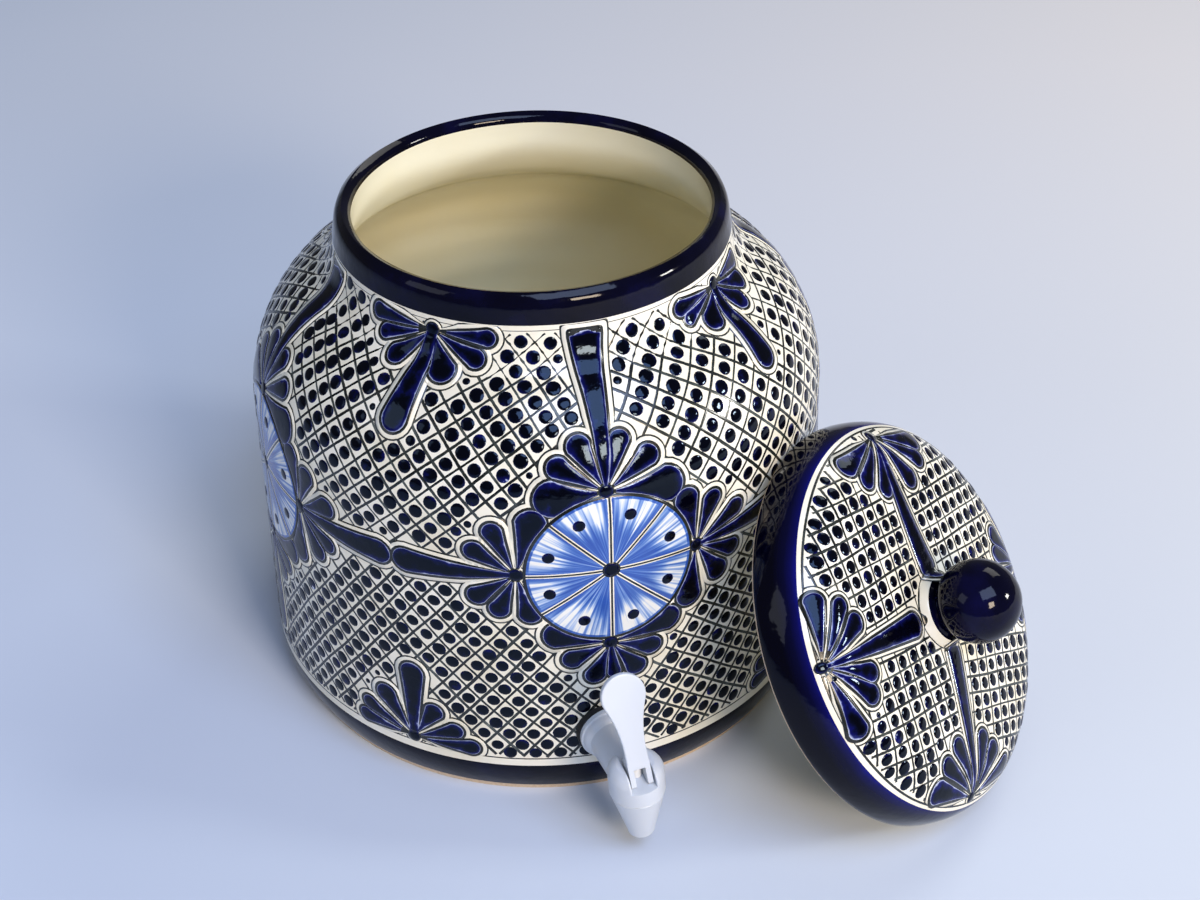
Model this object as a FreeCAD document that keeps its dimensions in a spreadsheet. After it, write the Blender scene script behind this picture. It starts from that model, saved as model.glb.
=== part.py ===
import os

import FreeCAD
import Part
import Sketcher
from FreeCAD import Placement, Rotation, Vector

# Clay water pot with a loose lid and a lever tap.
# Millimetres. +Z is up, -Y is the front, and the origin is the centre of the pot's foot.

doc = FreeCAD.newDocument("ClayWaterPot")

# ---------------------------------------------------------------- driving dimensions
DIMENSIONS = [
    ("pot_foot_radius", 137.6, "unglazed foot"),
    ("pot_belly_radius", 145.0, "widest point, low on the body"),
    ("pot_belly_height", 21.0, "height of the widest point"),
    ("pot_belly_curve", 50.0, "radius of the turn from foot to belly"),
    ("pot_side_radius", 140.8, "top of the straight side"),
    ("pot_side_height", 163.5, "where the shoulder starts"),
    ("pot_shoulder_curve", 73.0, "radius of the shoulder's profile"),
    ("pot_neck_radius", 105.6, "end of the shoulder"),
    ("pot_neck_height", 221.7, "height of the shoulder's end"),
    ("pot_neck_curve", 28.0, "hollow curve from shoulder to collar"),
    ("pot_collar_radius", 95.2, "foot of the collar"),
    ("pot_collar_height", 241.8, "height of the collar's foot"),
    ("pot_rim_radius", 93.6, "outside of the rim roll"),
    ("pot_rim_height", 250.8, "height of the rim roll's outer edge"),
    ("pot_height", 255.8, "top of the rim"),
    ("pot_rim_middle", 89.3, "radius of the rim's crest"),
    ("pot_mouth_radius", 85.2, "inside of the mouth"),
    ("pot_wall", 9.0, "thrown wall"),
    ("pot_floor", 12.0, "thickness of the base"),
    ("pot_rim_curve", 6.0, "outer half of the rolled rim"),
    ("pot_lip_curve", 5.0, "inner half of the rolled rim"),
    ("pot_lip_height", 252.3, "where the roll meets the mouth"),
    ("pot_throat_radius", 85.6, "inside of the collar at its foot"),
    ("pot_throat_height", 239.8, "height of that place"),
    ("pot_neck_out", 0.51, "shoulder's normal at the neck, outward part"),
    ("pot_neck_up", 0.86, "shoulder's normal at the neck, upward part"),
    ("pot_floor_curve", 24.0, "turn from the floor to the wall, inside"),
    ("pot_floor_turn", 20.0, "that turn's width"),
    ("pot_floor_rise", 6.0, "that turn's top over the widest point"),
    ("lid_radius", 97.3, "widest point of the lid"),
    ("lid_side_height", 4.8, "height of the widest point"),
    ("lid_seat_radius", 96.4, "outer edge of the unglazed seat"),
    ("lid_seat_bevel", 1.2, "bevel at the seat's edge"),
    ("lid_side_curve", 30.0, "profile of the rolled cobalt edge"),
    ("lid_border_radius", 92.9, "circle where the painted top begins"),
    ("lid_border_height", 21.7, "height of that circle"),
    ("lid_turn_curve", 32.0, "turn from edge to top"),
    ("lid_turn_radius", 75.0, "end of the turn"),
    ("lid_turn_height", 31.8, "height of the turn's end"),
    ("lid_crown_curve", 380.0, "nearly flat crown"),
    ("lid_ring_radius", 18.2, "raised ring round the knob"),
    ("lid_crown_height", 34.8, "crown height at the ring"),
    ("lid_ring_height", 38.2, "top of the raised ring"),
    ("lid_neck_radius", 13.4, "neck under the ball"),
    ("lid_ball_radius", 20.2, "ball knob"),
    ("lid_ball_height", 55.0, "centre of the ball"),
    ("lid_flange_radius", 82.5, "locating flange, fits the mouth"),
    ("lid_flange_depth", 8.0, "flange below the seat"),
    ("lid_flange_wall", 5.0, "flange thickness"),
    ("lid_side_lean", 0.1, "outward lean of the side over the bevel"),
    ("lid_ring_step", 1.2, "inward lean of the raised ring's outer side"),
    ("lid_ring_curve", 1.6, "rounding of the raised ring"),
    ("lid_ring_fall", 0.8, "height of that rounding"),
    ("lid_neck_flare", 0.8, "flare at the foot of the neck"),
    ("lid_neck_step", 0.6, "height of that flare"),
    ("lid_neck_depth", 15.1, "neck's top under the ball's centre"),
    ("lid_flange_taper", 0.8, "taper of the locating flange"),
    ("lid_hollow_height", 27.6, "ceiling of the hollow"),
    ("lid_hollow_radius", 66.0, "where the ceiling starts to turn down"),
    ("lid_hollow_fall", 1.0, "fall of the ceiling to there"),
    ("lid_hollow_curve", 14.0, "turn of the hollow"),
    ("lid_hollow_side", 80.0, "end of that turn"),
    ("lid_hollow_low", 13.7, "height of that turn's end"),
    ("lid_place_right", 160.6, "seat centre of the leaning lid, X"),
    ("lid_place_front", 113.6, "seat centre of the leaning lid, towards the front"),
    ("lid_lean", 34.95, "rise of the lid's axis over the horizon, degrees"),
    ("lid_turn", 31.5, "lid's axis turned from +X to the front, degrees"),
    ("overcut", 1.0, "how far a cut runs past the face it opens"),
    ("tap_azimuth", 10.8, "tap hole's place round the pot, degrees right of the front"),
    ("tap_height", 43.4, "shank axis over the foot"),
    ("wall_clearance", 12.0, "how far a drill passes the wall on either side"),
    ("tap_surface", 144.3, "pot's outer radius at the shank"),
    ("tap_yaw", 5.9, "tap axis turned right of the pot's radius, degrees"),
    ("tap_roll", 4.1, "tap turned about its shank, degrees"),
    ("tap_reach", 40.3, "pot wall to valve axis"),
    ("shank_radius", 8.0, "threaded shank"),
    ("shank_length", 22.0, "shank inside the wall's outer face"),
    ("shank_hole_radius", 8.4, "hole in the pot wall"),
    ("shank_bore_radius", 4.5, "water way"),
    ("flange_radius", 14.6, "tap flange"),
    ("flange_wall", 3.0, "flange thickness"),
    ("flange_gap", 1.4, "mean gap filled by the rubber washer"),
    ("flange_edge", 0.9, "rounded rim of the flange"),
    ("flange_edge_curve", 1.0, "radius of that rounding"),
    ("shank_chamfer", 0.8, "lead-in on the shank's end"),
    ("barrel_neck_radius", 11.6, "barrel where its root starts to flare"),
    ("barrel_neck_length", 4.0, "that place in front of the flange"),
    ("barrel_root_curve", 5.0, "hollow flare from barrel to flange"),
    ("barrel_tip_radius", 9.6, "barrel at the valve"),
    ("barrel_start", 9.0, "barrel's inner end from the valve axis"),
    ("chamber_outer_radius", 11.5, "valve chamber"),
    ("chamber_radius", 8.5, "chamber bore"),
    ("chamber_top", 6.4, "chamber rim over the seam"),
    ("chamber_bottom", 9.0, "chamber floor under the seam"),
    ("seat_depth", 11.0, "foot of the conical seat under the seam"),
    ("spout_radius", 13.0, "spout at the seam"),
    ("spout_tip_radius", 6.6, "spout at its tip"),
    ("spout_length", 29.5, "seam to spout tip"),
    ("spout_tip_curve", 2.4, "rounding of the spout's tip"),
    ("spout_tip_flat", 4.6, "radius of the flat end"),
    ("spout_chamfer", 0.6, "bevel at the seam, spout side"),
    ("bonnet_chamfer", 0.4, "bevel at the seam, bonnet side"),
    ("seam_gap", 0.1, "gap of the seam"),
    ("spout_bore_radius", 4.5, "outlet"),
    ("bonnet_radius", 13.3, "bonnet skirt"),
    ("bonnet_bore_radius", 11.6, "inside of the skirt"),
    ("bonnet_ceiling", 6.5, "underside of the deck"),
    ("bonnet_deck", 8.9, "deck under the lever"),
    ("bonnet_dome_start", 9.4, "where the bonnet starts to round over"),
    ("bonnet_dome_curve", 7.0, "rounding of the bonnet's shoulders"),
    ("bonnet_crown_radius", 8.8, "flat crown, cut into two ears"),
    ("bonnet_ear_top", 16.6, "top of the two ears"),
    ("bonnet_gap", 12.0, "slot between the ears"),
    ("ear_rounding", 0.6, "rounded edges of the ears"),
    ("gland_radius", 5.5, "guide boss under the deck"),
    ("gland_bottom", 2.5, "lower end of the guide boss"),
    ("guide_radius", 2.65, "stem guide"),
    ("barrel_notch_radius", 10.2, "arch that saddles the barrel"),
    ("stem_radius", 2.6, "valve stem"),
    ("stem_flange_radius", 5.0, "spring seat on the stem"),
    ("stem_flange_top", 5.8, "spring seat's top under the seam"),
    ("stem_flange_bottom", 7.0, "spring seat's underside under the seam"),
    ("stem_barb_radius", 1.8, "spigot that carries the plug"),
    ("stem_barb_bottom", 9.6, "end of the spigot under the seam"),
    ("stem_barb_tip", 1.2, "spigot's end"),
    ("stem_barb_rise", 0.9, "lead-in of the spigot"),
    ("stem_barb_neck", 1.4, "spigot behind its barb"),
    ("ring_height", 3.4, "middle of the stem's ring groove"),
    ("ring_section", 0.5, "radius of the rubber ring's section"),
    ("ring_play", 0.1, "room for the ring in its groove"),
    ("pivot_height", 13.2, "lever pin over the seam"),
    ("pin_radius", 0.9, "lever pin"),
    ("pin_bore_radius", 0.95, "pin's hole in the stem"),
    ("pin_inset", 0.2, "pin shorter than the fork is wide"),
    ("plug_radius", 6.8, "silicone plug"),
    ("plug_top", 7.0, "plug's top under the seam"),
    ("plug_bottom", 11.5, "plug's tip under the seam"),
    ("plug_tip_radius", 3.3, "plug's tip, inside the outlet"),
    ("plug_cone", 2.8, "foot of the plug's rim under its top"),
    ("plug_edge", 0.5, "bevel round the plug's top"),
    ("spring_radius", 4.2, "mean radius of the coil"),
    ("spring_wire", 0.35, "wire radius"),
    ("spring_turns", 3.5, "coils"),
    ("spring_play", 0.05, "gap between the coil's ends and what they bear on"),
    ("lever_width", 10.5, "fork across its cheeks"),
    ("lever_slot", 5.6, "fork slot"),
    ("lever_slot_top", 18.2, "web over the slot"),
    ("lever_toe", 9.2, "toe in front of the pin"),
    ("lever_heel", 3.4, "heel behind the pin"),
    ("lever_sole", 9.3, "foot of the lever over the seam"),
    ("lever_toe_radius", 1.5, "rounded toe"),
    ("lever_heel_top", 16.2, "where the heel starts to lean forward"),
    ("lever_back_top", 21.8, "top of the fork's back"),
    ("lever_back_place", 0.0, "that place, along the tap's axis"),
    ("lever_front_top", 21.2, "top of the fork's front"),
    ("lever_front_inset", 4.2, "that place behind the toe"),
    ("lever_slot_inset", 3.1, "slot's roof behind the toe"),
    ("lever_slot_fall", 2.2, "fall of the slot's roof at its mouth"),
    ("lever_lean", 22.0, "paddle leaning back, degrees"),
    ("lever_length", 55.0, "toe to paddle tip, along the paddle"),
    ("paddle_start", 6.0, "paddle's lower end, inside the fork"),
    ("lever_waist", 17.0, "where the paddle starts to widen"),
    ("paddle_flare_curve", 64.2, "hollow flank of the paddle"),
    ("paddle_flare_half", 9.76, "half width where the flank meets the round end"),
    ("paddle_flare_end", 40.6, "that place along the paddle"),
    ("paddle_width", 21.0, "paddle across its round end"),
    ("paddle_wall", 3.0, "paddle thickness"),
    ("paddle_rounding", 0.7, "rounded rim of the paddle"),
    ("washer_outer_radius", 15.3, "rubber washer outside the wall"),
    ("washer_inner_radius", 14.5, "rubber washer inside the wall"),
    ("washer_bore_radius", 8.2, "washers' hole"),
    ("washer_crush", 2.0, "inner washer's thickness at the shank"),
    ("thread_play", 0.05, "gap between the nut's thread and the shank's"),
    ("nut_width", 26.0, "back nut across flats"),
    ("nut_wall", 6.0, "back nut thickness"),
    ("nut_face", 12.6, "nut's seating face inside the wall's outer face"),
]

sheet = doc.addObject("Spreadsheet::Sheet", "Dimensions")
for row, (alias, value, meaning) in enumerate(DIMENSIONS, start=1):
    sheet.set(f"A{row}", meaning)
    sheet.set(f"B{row}", str(value))
    sheet.setAlias(f"B{row}", alias)
doc.recompute()


class Size:
    """A driving dimension, or a sum built from them: its expression and its value."""

    def __init__(self, text, value):
        self.text = text
        self.value = value

    def __add__(self, other):
        other = as_size(other)
        return Size(f"({self.text} + {other.text})", self.value + other.value)

    def __sub__(self, other):
        other = as_size(other)
        return Size(f"({self.text} - {other.text})", self.value - other.value)

    def __mul__(self, other):
        other = as_size(other)
        return Size(f"({self.text} * {other.text})", self.value * other.value)

    def __neg__(self):
        return Size(f"(0 - {self.text})", -self.value)


def as_size(value):
    return value if isinstance(value, Size) else Size(repr(float(value)), float(value))


def dim(alias):
    """The driving dimension of that name."""
    return Size(f"Dimensions.{alias}", float(sheet.get(alias)))


# ---------------------------------------------------------------- drawing helpers
ORIGIN = -1
X_AXIS = -1
Y_AXIS = -2
START = 1
END = 2


def new_body(name):
    body = doc.addObject("PartDesign::Body", name)
    body.Label = name
    return body


def new_sketch(body, role, name):
    sketch = body.newObject("Sketcher::SketchObject", name)
    plane = next(item for item in body.Origin.OriginFeatures if item.Role == role)
    sketch.AttachmentSupport = [(plane, "")]
    sketch.MapMode = "FlatFace"
    return sketch


def end_at(sketch, geometry, point):
    """Which end of a piece of geometry lies at the point."""
    near = [(sketch.getPoint(geometry, end) - point).Length for end in (START, END)]
    return START if near[0] < near[1] else END


def place_point(sketch, geometry, end, x, y):
    """Ties a point to the sketch's axes at a distance given by the sheet."""
    for kind, axis, size in (("DistanceX", Y_AXIS, x), ("DistanceY", X_AXIS, y)):
        if abs(size.value) < 1e-9:
            sketch.addConstraint(Sketcher.Constraint("PointOnObject", geometry, end, axis))
            continue
        first, second = (ORIGIN, START), (geometry, end)
        text = size.text
        if size.value < 0:
            first, second = second, first
            text = f"0 - {size.text}"
        number = sketch.addConstraint(Sketcher.Constraint(kind, *first, *second, abs(size.value)))
        sketch.setExpression(f"Constraints[{number}]", text)


def bulge_point(start, end, radius):
    """Middle of the arc of that radius; a positive radius bulges to the right of the way."""
    middle = (start + end) * 0.5
    along = end - start
    half = along.Length / 2
    sagitta = abs(radius) - (radius * radius - half * half) ** 0.5
    right = Vector(along.y, -along.x, 0).normalize()
    return middle + right * (sagitta if radius > 0 else -sagitta)


def outline(sketch, *path):
    """A closed outline. Pairs are corners, and a single size between two corners makes
    the edge between them an arc of that radius, bulging right if it is positive."""
    corners = []
    radii = {}
    for item in path:
        if isinstance(item, tuple):
            corners.append((as_size(item[0]), as_size(item[1])))
        else:
            radii[len(corners) - 1] = as_size(item)
    points = [Vector(x.value, y.value, 0) for x, y in corners]
    edges = []
    for i, start in enumerate(points):
        end = points[(i + 1) % len(points)]
        if i in radii:
            shape = Part.Arc(start, bulge_point(start, end, radii[i].value), end)
        else:
            shape = Part.LineSegment(start, end)
        edges.append(sketch.addGeometry(shape))
    for i, edge in enumerate(edges):
        corner = points[i]
        before = edges[i - 1]
        here = end_at(sketch, edge, corner)
        sketch.addConstraint(
            Sketcher.Constraint("Coincident", before, end_at(sketch, before, corner), edge, here)
        )
        place_point(sketch, edge, here, *corners[i])
        if i in radii:
            radius = radii[i]
            number = sketch.addConstraint(
                Sketcher.Constraint("Radius", edge, abs(radius.value))
            )
            text = radius.text if radius.value > 0 else f"0 - {radius.text}"
            sketch.setExpression(f"Constraints[{number}]", text)
    return sketch


def circle(sketch, x, y, radius):
    x, y, radius = as_size(x), as_size(y), as_size(radius)
    shape = Part.Circle(Vector(x.value, y.value, 0), Vector(0, 0, 1), radius.value)
    edge = sketch.addGeometry(shape)
    place_point(sketch, edge, 3, x, y)
    number = sketch.addConstraint(Sketcher.Constraint("Radius", edge, radius.value))
    sketch.setExpression(f"Constraints[{number}]", radius.text)
    return sketch


def shift(sketch, distance):
    """Moves a sketch along its plane's normal."""
    sketch.setExpression("AttachmentOffset.Base.z", as_size(distance).text)
    return sketch


def axis_of(body, role):
    return next(item for item in body.Origin.OriginFeatures if item.Role == role)


def turn(body, kind, sketch, role, name):
    """A Revolution or a Groove, all the way round one of the body's own axes."""
    feature = body.newObject(f"PartDesign::{kind}", name)
    feature.Profile = sketch
    feature.ReferenceAxis = (axis_of(body, role), [""])
    feature.Angle = 360
    return feature


def extrude(body, kind, sketch, length, name, both_ways=False, backwards=False):
    """A Pad or a Pocket of a length given by the sheet."""
    feature = body.newObject(f"PartDesign::{kind}", name)
    feature.Profile = sketch
    feature.setExpression("Length", as_size(length).text)
    feature.Midplane = both_ways
    feature.Reversed = backwards
    return feature


def round_edges(body, feature, radius, chosen, name):
    """A fillet on those edges of the feature that the test picks."""
    doc.recompute()
    names = [
        f"Edge{i}" for i, edge in enumerate(feature.Shape.Edges, start=1) if chosen(edge)
    ]
    fillet = body.newObject("PartDesign::Fillet", name)
    fillet.Base = (feature, names)
    fillet.setExpression("Radius", as_size(radius).text)
    return fillet


def is_arc(edge, radius):
    """Whether an edge is an arc of that radius."""
    curve = edge.Curve
    return curve.TypeId == "Part::GeomCircle" and abs(curve.Radius - radius.value) < 0.05


# ---------------------------------------------------------------- pot
# Thrown shell: wide foot, nearly straight side, round shoulder, short collar and rolled rim.
def throw_pot(name):
    body = new_body(name)
    wall = dim("pot_wall")
    sketch = new_sketch(body, "XZ_Plane", name + "_profile")
    outline(
        sketch,
        (0, 0),
        (dim("pot_foot_radius"), 0),
        dim("pot_belly_curve"),
        (dim("pot_belly_radius"), dim("pot_belly_height")),
        (dim("pot_side_radius"), dim("pot_side_height")),
        dim("pot_shoulder_curve"),
        (dim("pot_neck_radius"), dim("pot_neck_height")),
        -dim("pot_neck_curve"),
        (dim("pot_collar_radius"), dim("pot_collar_height")),
        (dim("pot_rim_radius"), dim("pot_rim_height")),
        dim("pot_rim_curve"),
        (dim("pot_rim_middle"), dim("pot_height")),
        dim("pot_lip_curve"),
        (dim("pot_mouth_radius"), dim("pot_lip_height")),
        (dim("pot_throat_radius"), dim("pot_throat_height")),
        dim("pot_neck_curve") + wall,
        (
            dim("pot_neck_radius") - wall * dim("pot_neck_out"),
            dim("pot_neck_height") - wall * dim("pot_neck_up"),
        ),
        -(dim("pot_shoulder_curve") - wall),
        (dim("pot_side_radius") - wall, dim("pot_side_height")),
        (dim("pot_belly_radius") - wall, dim("pot_belly_height") + dim("pot_floor_rise")),
        -dim("pot_floor_curve"),
        (dim("pot_belly_radius") - wall - dim("pot_floor_turn"), dim("pot_floor")),
        (0, dim("pot_floor")),
    )
    turn(body, "Revolution", sketch, "Z_Axis", name + "_thrown")
    return body


thrown_pot = throw_pot("thrown_pot")

# ---------------------------------------------------------------- lid
# Thrown dome with a rolled edge, a locating flange below its seat, and a solid ball knob.
lid = new_body("lid")
seat_hole = dim("lid_flange_radius") - dim("lid_flange_wall")
neck_top = dim("lid_ball_height") - dim("lid_neck_depth")
outline(
    new_sketch(lid, "XZ_Plane", "lid_profile"),
    (dim("lid_flange_radius"), 0),
    (dim("lid_seat_radius"), 0),
    (dim("lid_radius") - dim("lid_side_lean"), dim("lid_seat_bevel")),
    (dim("lid_radius"), dim("lid_side_height")),
    dim("lid_side_curve"),
    (dim("lid_border_radius"), dim("lid_border_height")),
    dim("lid_turn_curve"),
    (dim("lid_turn_radius"), dim("lid_turn_height")),
    dim("lid_crown_curve"),
    (dim("lid_ring_radius"), dim("lid_crown_height")),
    (dim("lid_ring_radius") - dim("lid_ring_step"), dim("lid_ring_height") - dim("lid_ring_fall")),
    dim("lid_ring_curve"),
    (dim("lid_neck_radius") + dim("lid_neck_flare"), dim("lid_ring_height")),
    (dim("lid_neck_radius"), dim("lid_ring_height") + dim("lid_neck_step")),
    (dim("lid_neck_radius"), neck_top),
    dim("lid_ball_radius"),
    (dim("lid_ball_radius"), dim("lid_ball_height")),
    dim("lid_ball_radius"),
    (0, dim("lid_ball_height") + dim("lid_ball_radius")),
    (0, dim("lid_hollow_height")),
    (dim("lid_hollow_radius"), dim("lid_hollow_height") - dim("lid_hollow_fall")),
    -dim("lid_hollow_curve"),
    (dim("lid_hollow_side"), dim("lid_hollow_low")),
    (seat_hole, 0),
    (seat_hole, -dim("lid_flange_depth")),
    (dim("lid_flange_radius") - dim("lid_flange_taper"), -dim("lid_flange_depth")),
)
turn(lid, "Revolution", doc.getObject("lid_profile"), "Z_Axis", "lid_thrown")

# ---------------------------------------------------------------- tap
# The tap's pieces share one frame: the valve axis is Z, the seam between bonnet and spout is
# Z = 0, and the shank runs along +Y into the pot.
wall_face = dim("tap_reach")
flange_back = wall_face - dim("flange_gap")
flange_front = flange_back - dim("flange_wall")
# A cutting profile runs on this far past the face that it cuts.
beyond = dim("overcut")

# Shank, flange, tapered barrel, valve chamber and spout are one moulding.
tap_body = new_body("tap_body")
outline(
    new_sketch(tap_body, "YZ_Plane", "barrel_profile"),
    (dim("barrel_start"), 0),
    (dim("barrel_start"), dim("barrel_tip_radius")),
    (flange_front - dim("barrel_neck_length"), dim("barrel_neck_radius")),
    -dim("barrel_root_curve"),
    (flange_front, dim("flange_radius") - dim("flange_edge")),
    dim("flange_edge_curve"),
    (flange_front + dim("flange_edge"), dim("flange_radius")),
    (flange_back, dim("flange_radius")),
    (flange_back, dim("shank_radius")),
    (wall_face + dim("shank_length") - dim("shank_chamfer"), dim("shank_radius")),
    (wall_face + dim("shank_length"), dim("shank_radius") - dim("shank_chamfer")),
    (wall_face + dim("shank_length"), 0),
)
turn(tap_body, "Revolution", doc.getObject("barrel_profile"), "Y_Axis", "barrel")
outline(
    new_sketch(tap_body, "XZ_Plane", "spout_profile"),
    (0, -dim("spout_length")),
    (dim("spout_tip_flat"), -dim("spout_length")),
    dim("spout_tip_curve"),
    (dim("spout_tip_radius"), -dim("spout_length") + dim("spout_tip_curve")),
    (dim("spout_radius"), -dim("spout_chamfer")),
    (dim("spout_radius") - dim("spout_chamfer"), 0),
    (dim("chamber_outer_radius"), 0),
    (dim("chamber_outer_radius"), dim("chamber_top")),
    (0, dim("chamber_top")),
)
turn(tap_body, "Revolution", doc.getObject("spout_profile"), "Z_Axis", "spout")
outline(
    new_sketch(tap_body, "XZ_Plane", "chamber_profile"),
    (0, dim("chamber_top") + beyond),
    (0, -dim("spout_length") - beyond),
    (dim("spout_bore_radius"), -dim("spout_length") - beyond),
    (dim("spout_bore_radius"), -dim("seat_depth")),
    (dim("chamber_radius"), -dim("chamber_bottom")),
    (dim("chamber_radius"), dim("chamber_top") + beyond),
)
turn(tap_body, "Groove", doc.getObject("chamber_profile"), "Z_Axis", "chamber")
outline(
    new_sketch(tap_body, "YZ_Plane", "water_way_profile"),
    (dim("chamber_radius") - beyond, 0),
    (wall_face + dim("shank_length") + beyond, 0),
    (wall_face + dim("shank_length") + beyond, dim("shank_bore_radius")),
    (dim("chamber_radius") - beyond, dim("shank_bore_radius")),
)
turn(tap_body, "Groove", doc.getObject("water_way_profile"), "Y_Axis", "water_way")

# The bonnet caps the chamber. Its two ears guard the lever's fork.
bonnet = new_body("tap_bonnet")
outline(
    new_sketch(bonnet, "XZ_Plane", "bonnet_profile"),
    (dim("guide_radius"), dim("gland_bottom")),
    (dim("gland_radius"), dim("gland_bottom")),
    (dim("gland_radius"), dim("bonnet_ceiling")),
    (dim("bonnet_bore_radius"), dim("bonnet_ceiling")),
    (dim("bonnet_bore_radius"), dim("seam_gap")),
    (dim("bonnet_radius") - dim("bonnet_chamfer"), dim("seam_gap")),
    (dim("bonnet_radius"), dim("seam_gap") + dim("bonnet_chamfer")),
    (dim("bonnet_radius"), dim("bonnet_dome_start")),
    dim("bonnet_dome_curve"),
    (dim("bonnet_crown_radius"), dim("bonnet_ear_top")),
    (dim("guide_radius"), dim("bonnet_ear_top")),
)
turn(bonnet, "Revolution", doc.getObject("bonnet_profile"), "Z_Axis", "bonnet_turned")
ear_gap = new_sketch(bonnet, "XZ_Plane", "ear_gap_profile")
outline(
    ear_gap,
    (dim("bonnet_gap") * -0.5, dim("bonnet_deck")),
    (dim("bonnet_gap") * 0.5, dim("bonnet_deck")),
    (dim("bonnet_gap") * 0.5, dim("bonnet_ear_top") + beyond),
    (dim("bonnet_gap") * -0.5, dim("bonnet_ear_top") + beyond),
)
extrude(bonnet, "Pocket", ear_gap, dim("bonnet_radius") * 3, "ear_gap", both_ways=True)
notch = new_sketch(bonnet, "XZ_Plane", "barrel_notch_profile")
circle(notch, 0, 0, dim("barrel_notch_radius"))
shift(notch, -(dim("barrel_start") - dim("seam_gap")))
extrude(bonnet, "Pocket", notch, dim("bonnet_radius"), "barrel_notch")



def on_ear(edge):
    """The free edges of the two ears: those of the gap over the deck, and the crown's."""
    middle = (edge.BoundBox.ZMin + edge.BoundBox.ZMax) * 0.5
    width = max(abs(edge.BoundBox.XMin), abs(edge.BoundBox.XMax))
    flat = edge.BoundBox.XMax - edge.BoundBox.XMin < 0.01
    beside_gap = flat and abs(width - dim("bonnet_gap").value * 0.5) < 0.01
    return (beside_gap and middle > dim("bonnet_deck").value + 1) or is_arc(
        edge, dim("bonnet_crown_radius")
    )


round_edges(bonnet, doc.getObject("barrel_notch"), dim("ear_rounding"), on_ear, "ear_rounding")

# The stem slides in the bonnet: ball end with the pin's hole, ring groove, spring seat, spigot.
stem = new_body("valve_stem")
groove_floor = dim("stem_radius") - dim("ring_section") * 2
groove_low = dim("ring_height") - dim("ring_section") - dim("ring_play")
groove_high = dim("ring_height") + dim("ring_section") + dim("ring_play")
outline(
    new_sketch(stem, "XZ_Plane", "stem_profile"),
    (0, -dim("stem_barb_bottom")),
    (dim("stem_barb_tip"), -dim("stem_barb_bottom")),
    (dim("stem_barb_radius"), dim("stem_barb_rise") - dim("stem_barb_bottom")),
    (dim("stem_barb_neck"), -dim("stem_flange_bottom")),
    (dim("stem_flange_radius"), -dim("stem_flange_bottom")),
    (dim("stem_flange_radius"), -dim("stem_flange_top")),
    (dim("stem_radius"), -dim("stem_flange_top")),
    (dim("stem_radius"), groove_low),
    (groove_floor, groove_low),
    (groove_floor, groove_high),
    (dim("stem_radius"), groove_high),
    (dim("stem_radius"), dim("pivot_height")),
    dim("stem_radius"),
    (0, dim("pivot_height") + dim("stem_radius")),
)
turn(stem, "Revolution", doc.getObject("stem_profile"), "Z_Axis", "stem_turned")
pin_hole = new_sketch(stem, "YZ_Plane", "pin_hole_profile")
circle(pin_hole, 0, dim("pivot_height"), dim("pin_bore_radius"))
extrude(stem, "Pocket", pin_hole, dim("stem_radius") * 3, "pin_hole", both_ways=True)

# Silicone plug on the stem's spigot; its cone closes the seat at the head of the spout.
plug = new_body("seat_plug")
outline(
    new_sketch(plug, "XZ_Plane", "plug_profile"),
    (dim("stem_barb_radius"), -dim("plug_top")),
    (dim("stem_barb_radius"), -dim("stem_barb_bottom")),
    (0, -dim("stem_barb_bottom")),
    (0, -dim("plug_bottom")),
    (dim("plug_tip_radius"), -dim("plug_bottom")),
    (dim("plug_radius"), -dim("plug_top") - dim("plug_cone")),
    (dim("plug_radius"), -dim("plug_top") - dim("plug_edge")),
    (dim("plug_radius") - dim("plug_edge"), -dim("plug_top")),
)
turn(plug, "Revolution", doc.getObject("plug_profile"), "Z_Axis", "plug_moulded")

# Rubber ring in the stem's groove.
stem_ring = new_body("stem_o_ring")
ring_circle = new_sketch(stem_ring, "XZ_Plane", "ring_profile")
circle(
    ring_circle, groove_floor + dim("ring_section"), dim("ring_height"), dim("ring_section")
)
turn(stem_ring, "Revolution", ring_circle, "Z_Axis", "ring_moulded")

# Return spring between the guide boss and the stem's flange.
spring = new_body("return_spring")
wire = new_sketch(spring, "XZ_Plane", "wire_profile")
spring_foot = dim("spring_wire") + dim("spring_play") - dim("stem_flange_top")
spring_head = dim("gland_bottom") - dim("spring_wire") - dim("spring_play")
# The wire's section is an octagon: half a flat over half its width is the tangent of 22.5 degrees.
flat = dim("spring_wire") * 0.414
outline(
    wire,
    (dim("spring_radius") + dim("spring_wire"), spring_foot - flat),
    (dim("spring_radius") + dim("spring_wire"), spring_foot + flat),
    (dim("spring_radius") + flat, spring_foot + dim("spring_wire")),
    (dim("spring_radius") - flat, spring_foot + dim("spring_wire")),
    (dim("spring_radius") - dim("spring_wire"), spring_foot + flat),
    (dim("spring_radius") - dim("spring_wire"), spring_foot - flat),
    (dim("spring_radius") - flat, spring_foot - dim("spring_wire")),
    (dim("spring_radius") + flat, spring_foot - dim("spring_wire")),
)
coil = spring.newObject("PartDesign::AdditiveHelix", "spring_coil")
coil.Profile = wire
coil.ReferenceAxis = (wire, ["V_Axis"])
coil.Mode = "height-turns-angle"
coil.setExpression("Height", (spring_head - spring_foot).text)
coil.setExpression("Turns", dim("spring_turns").text)

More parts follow.
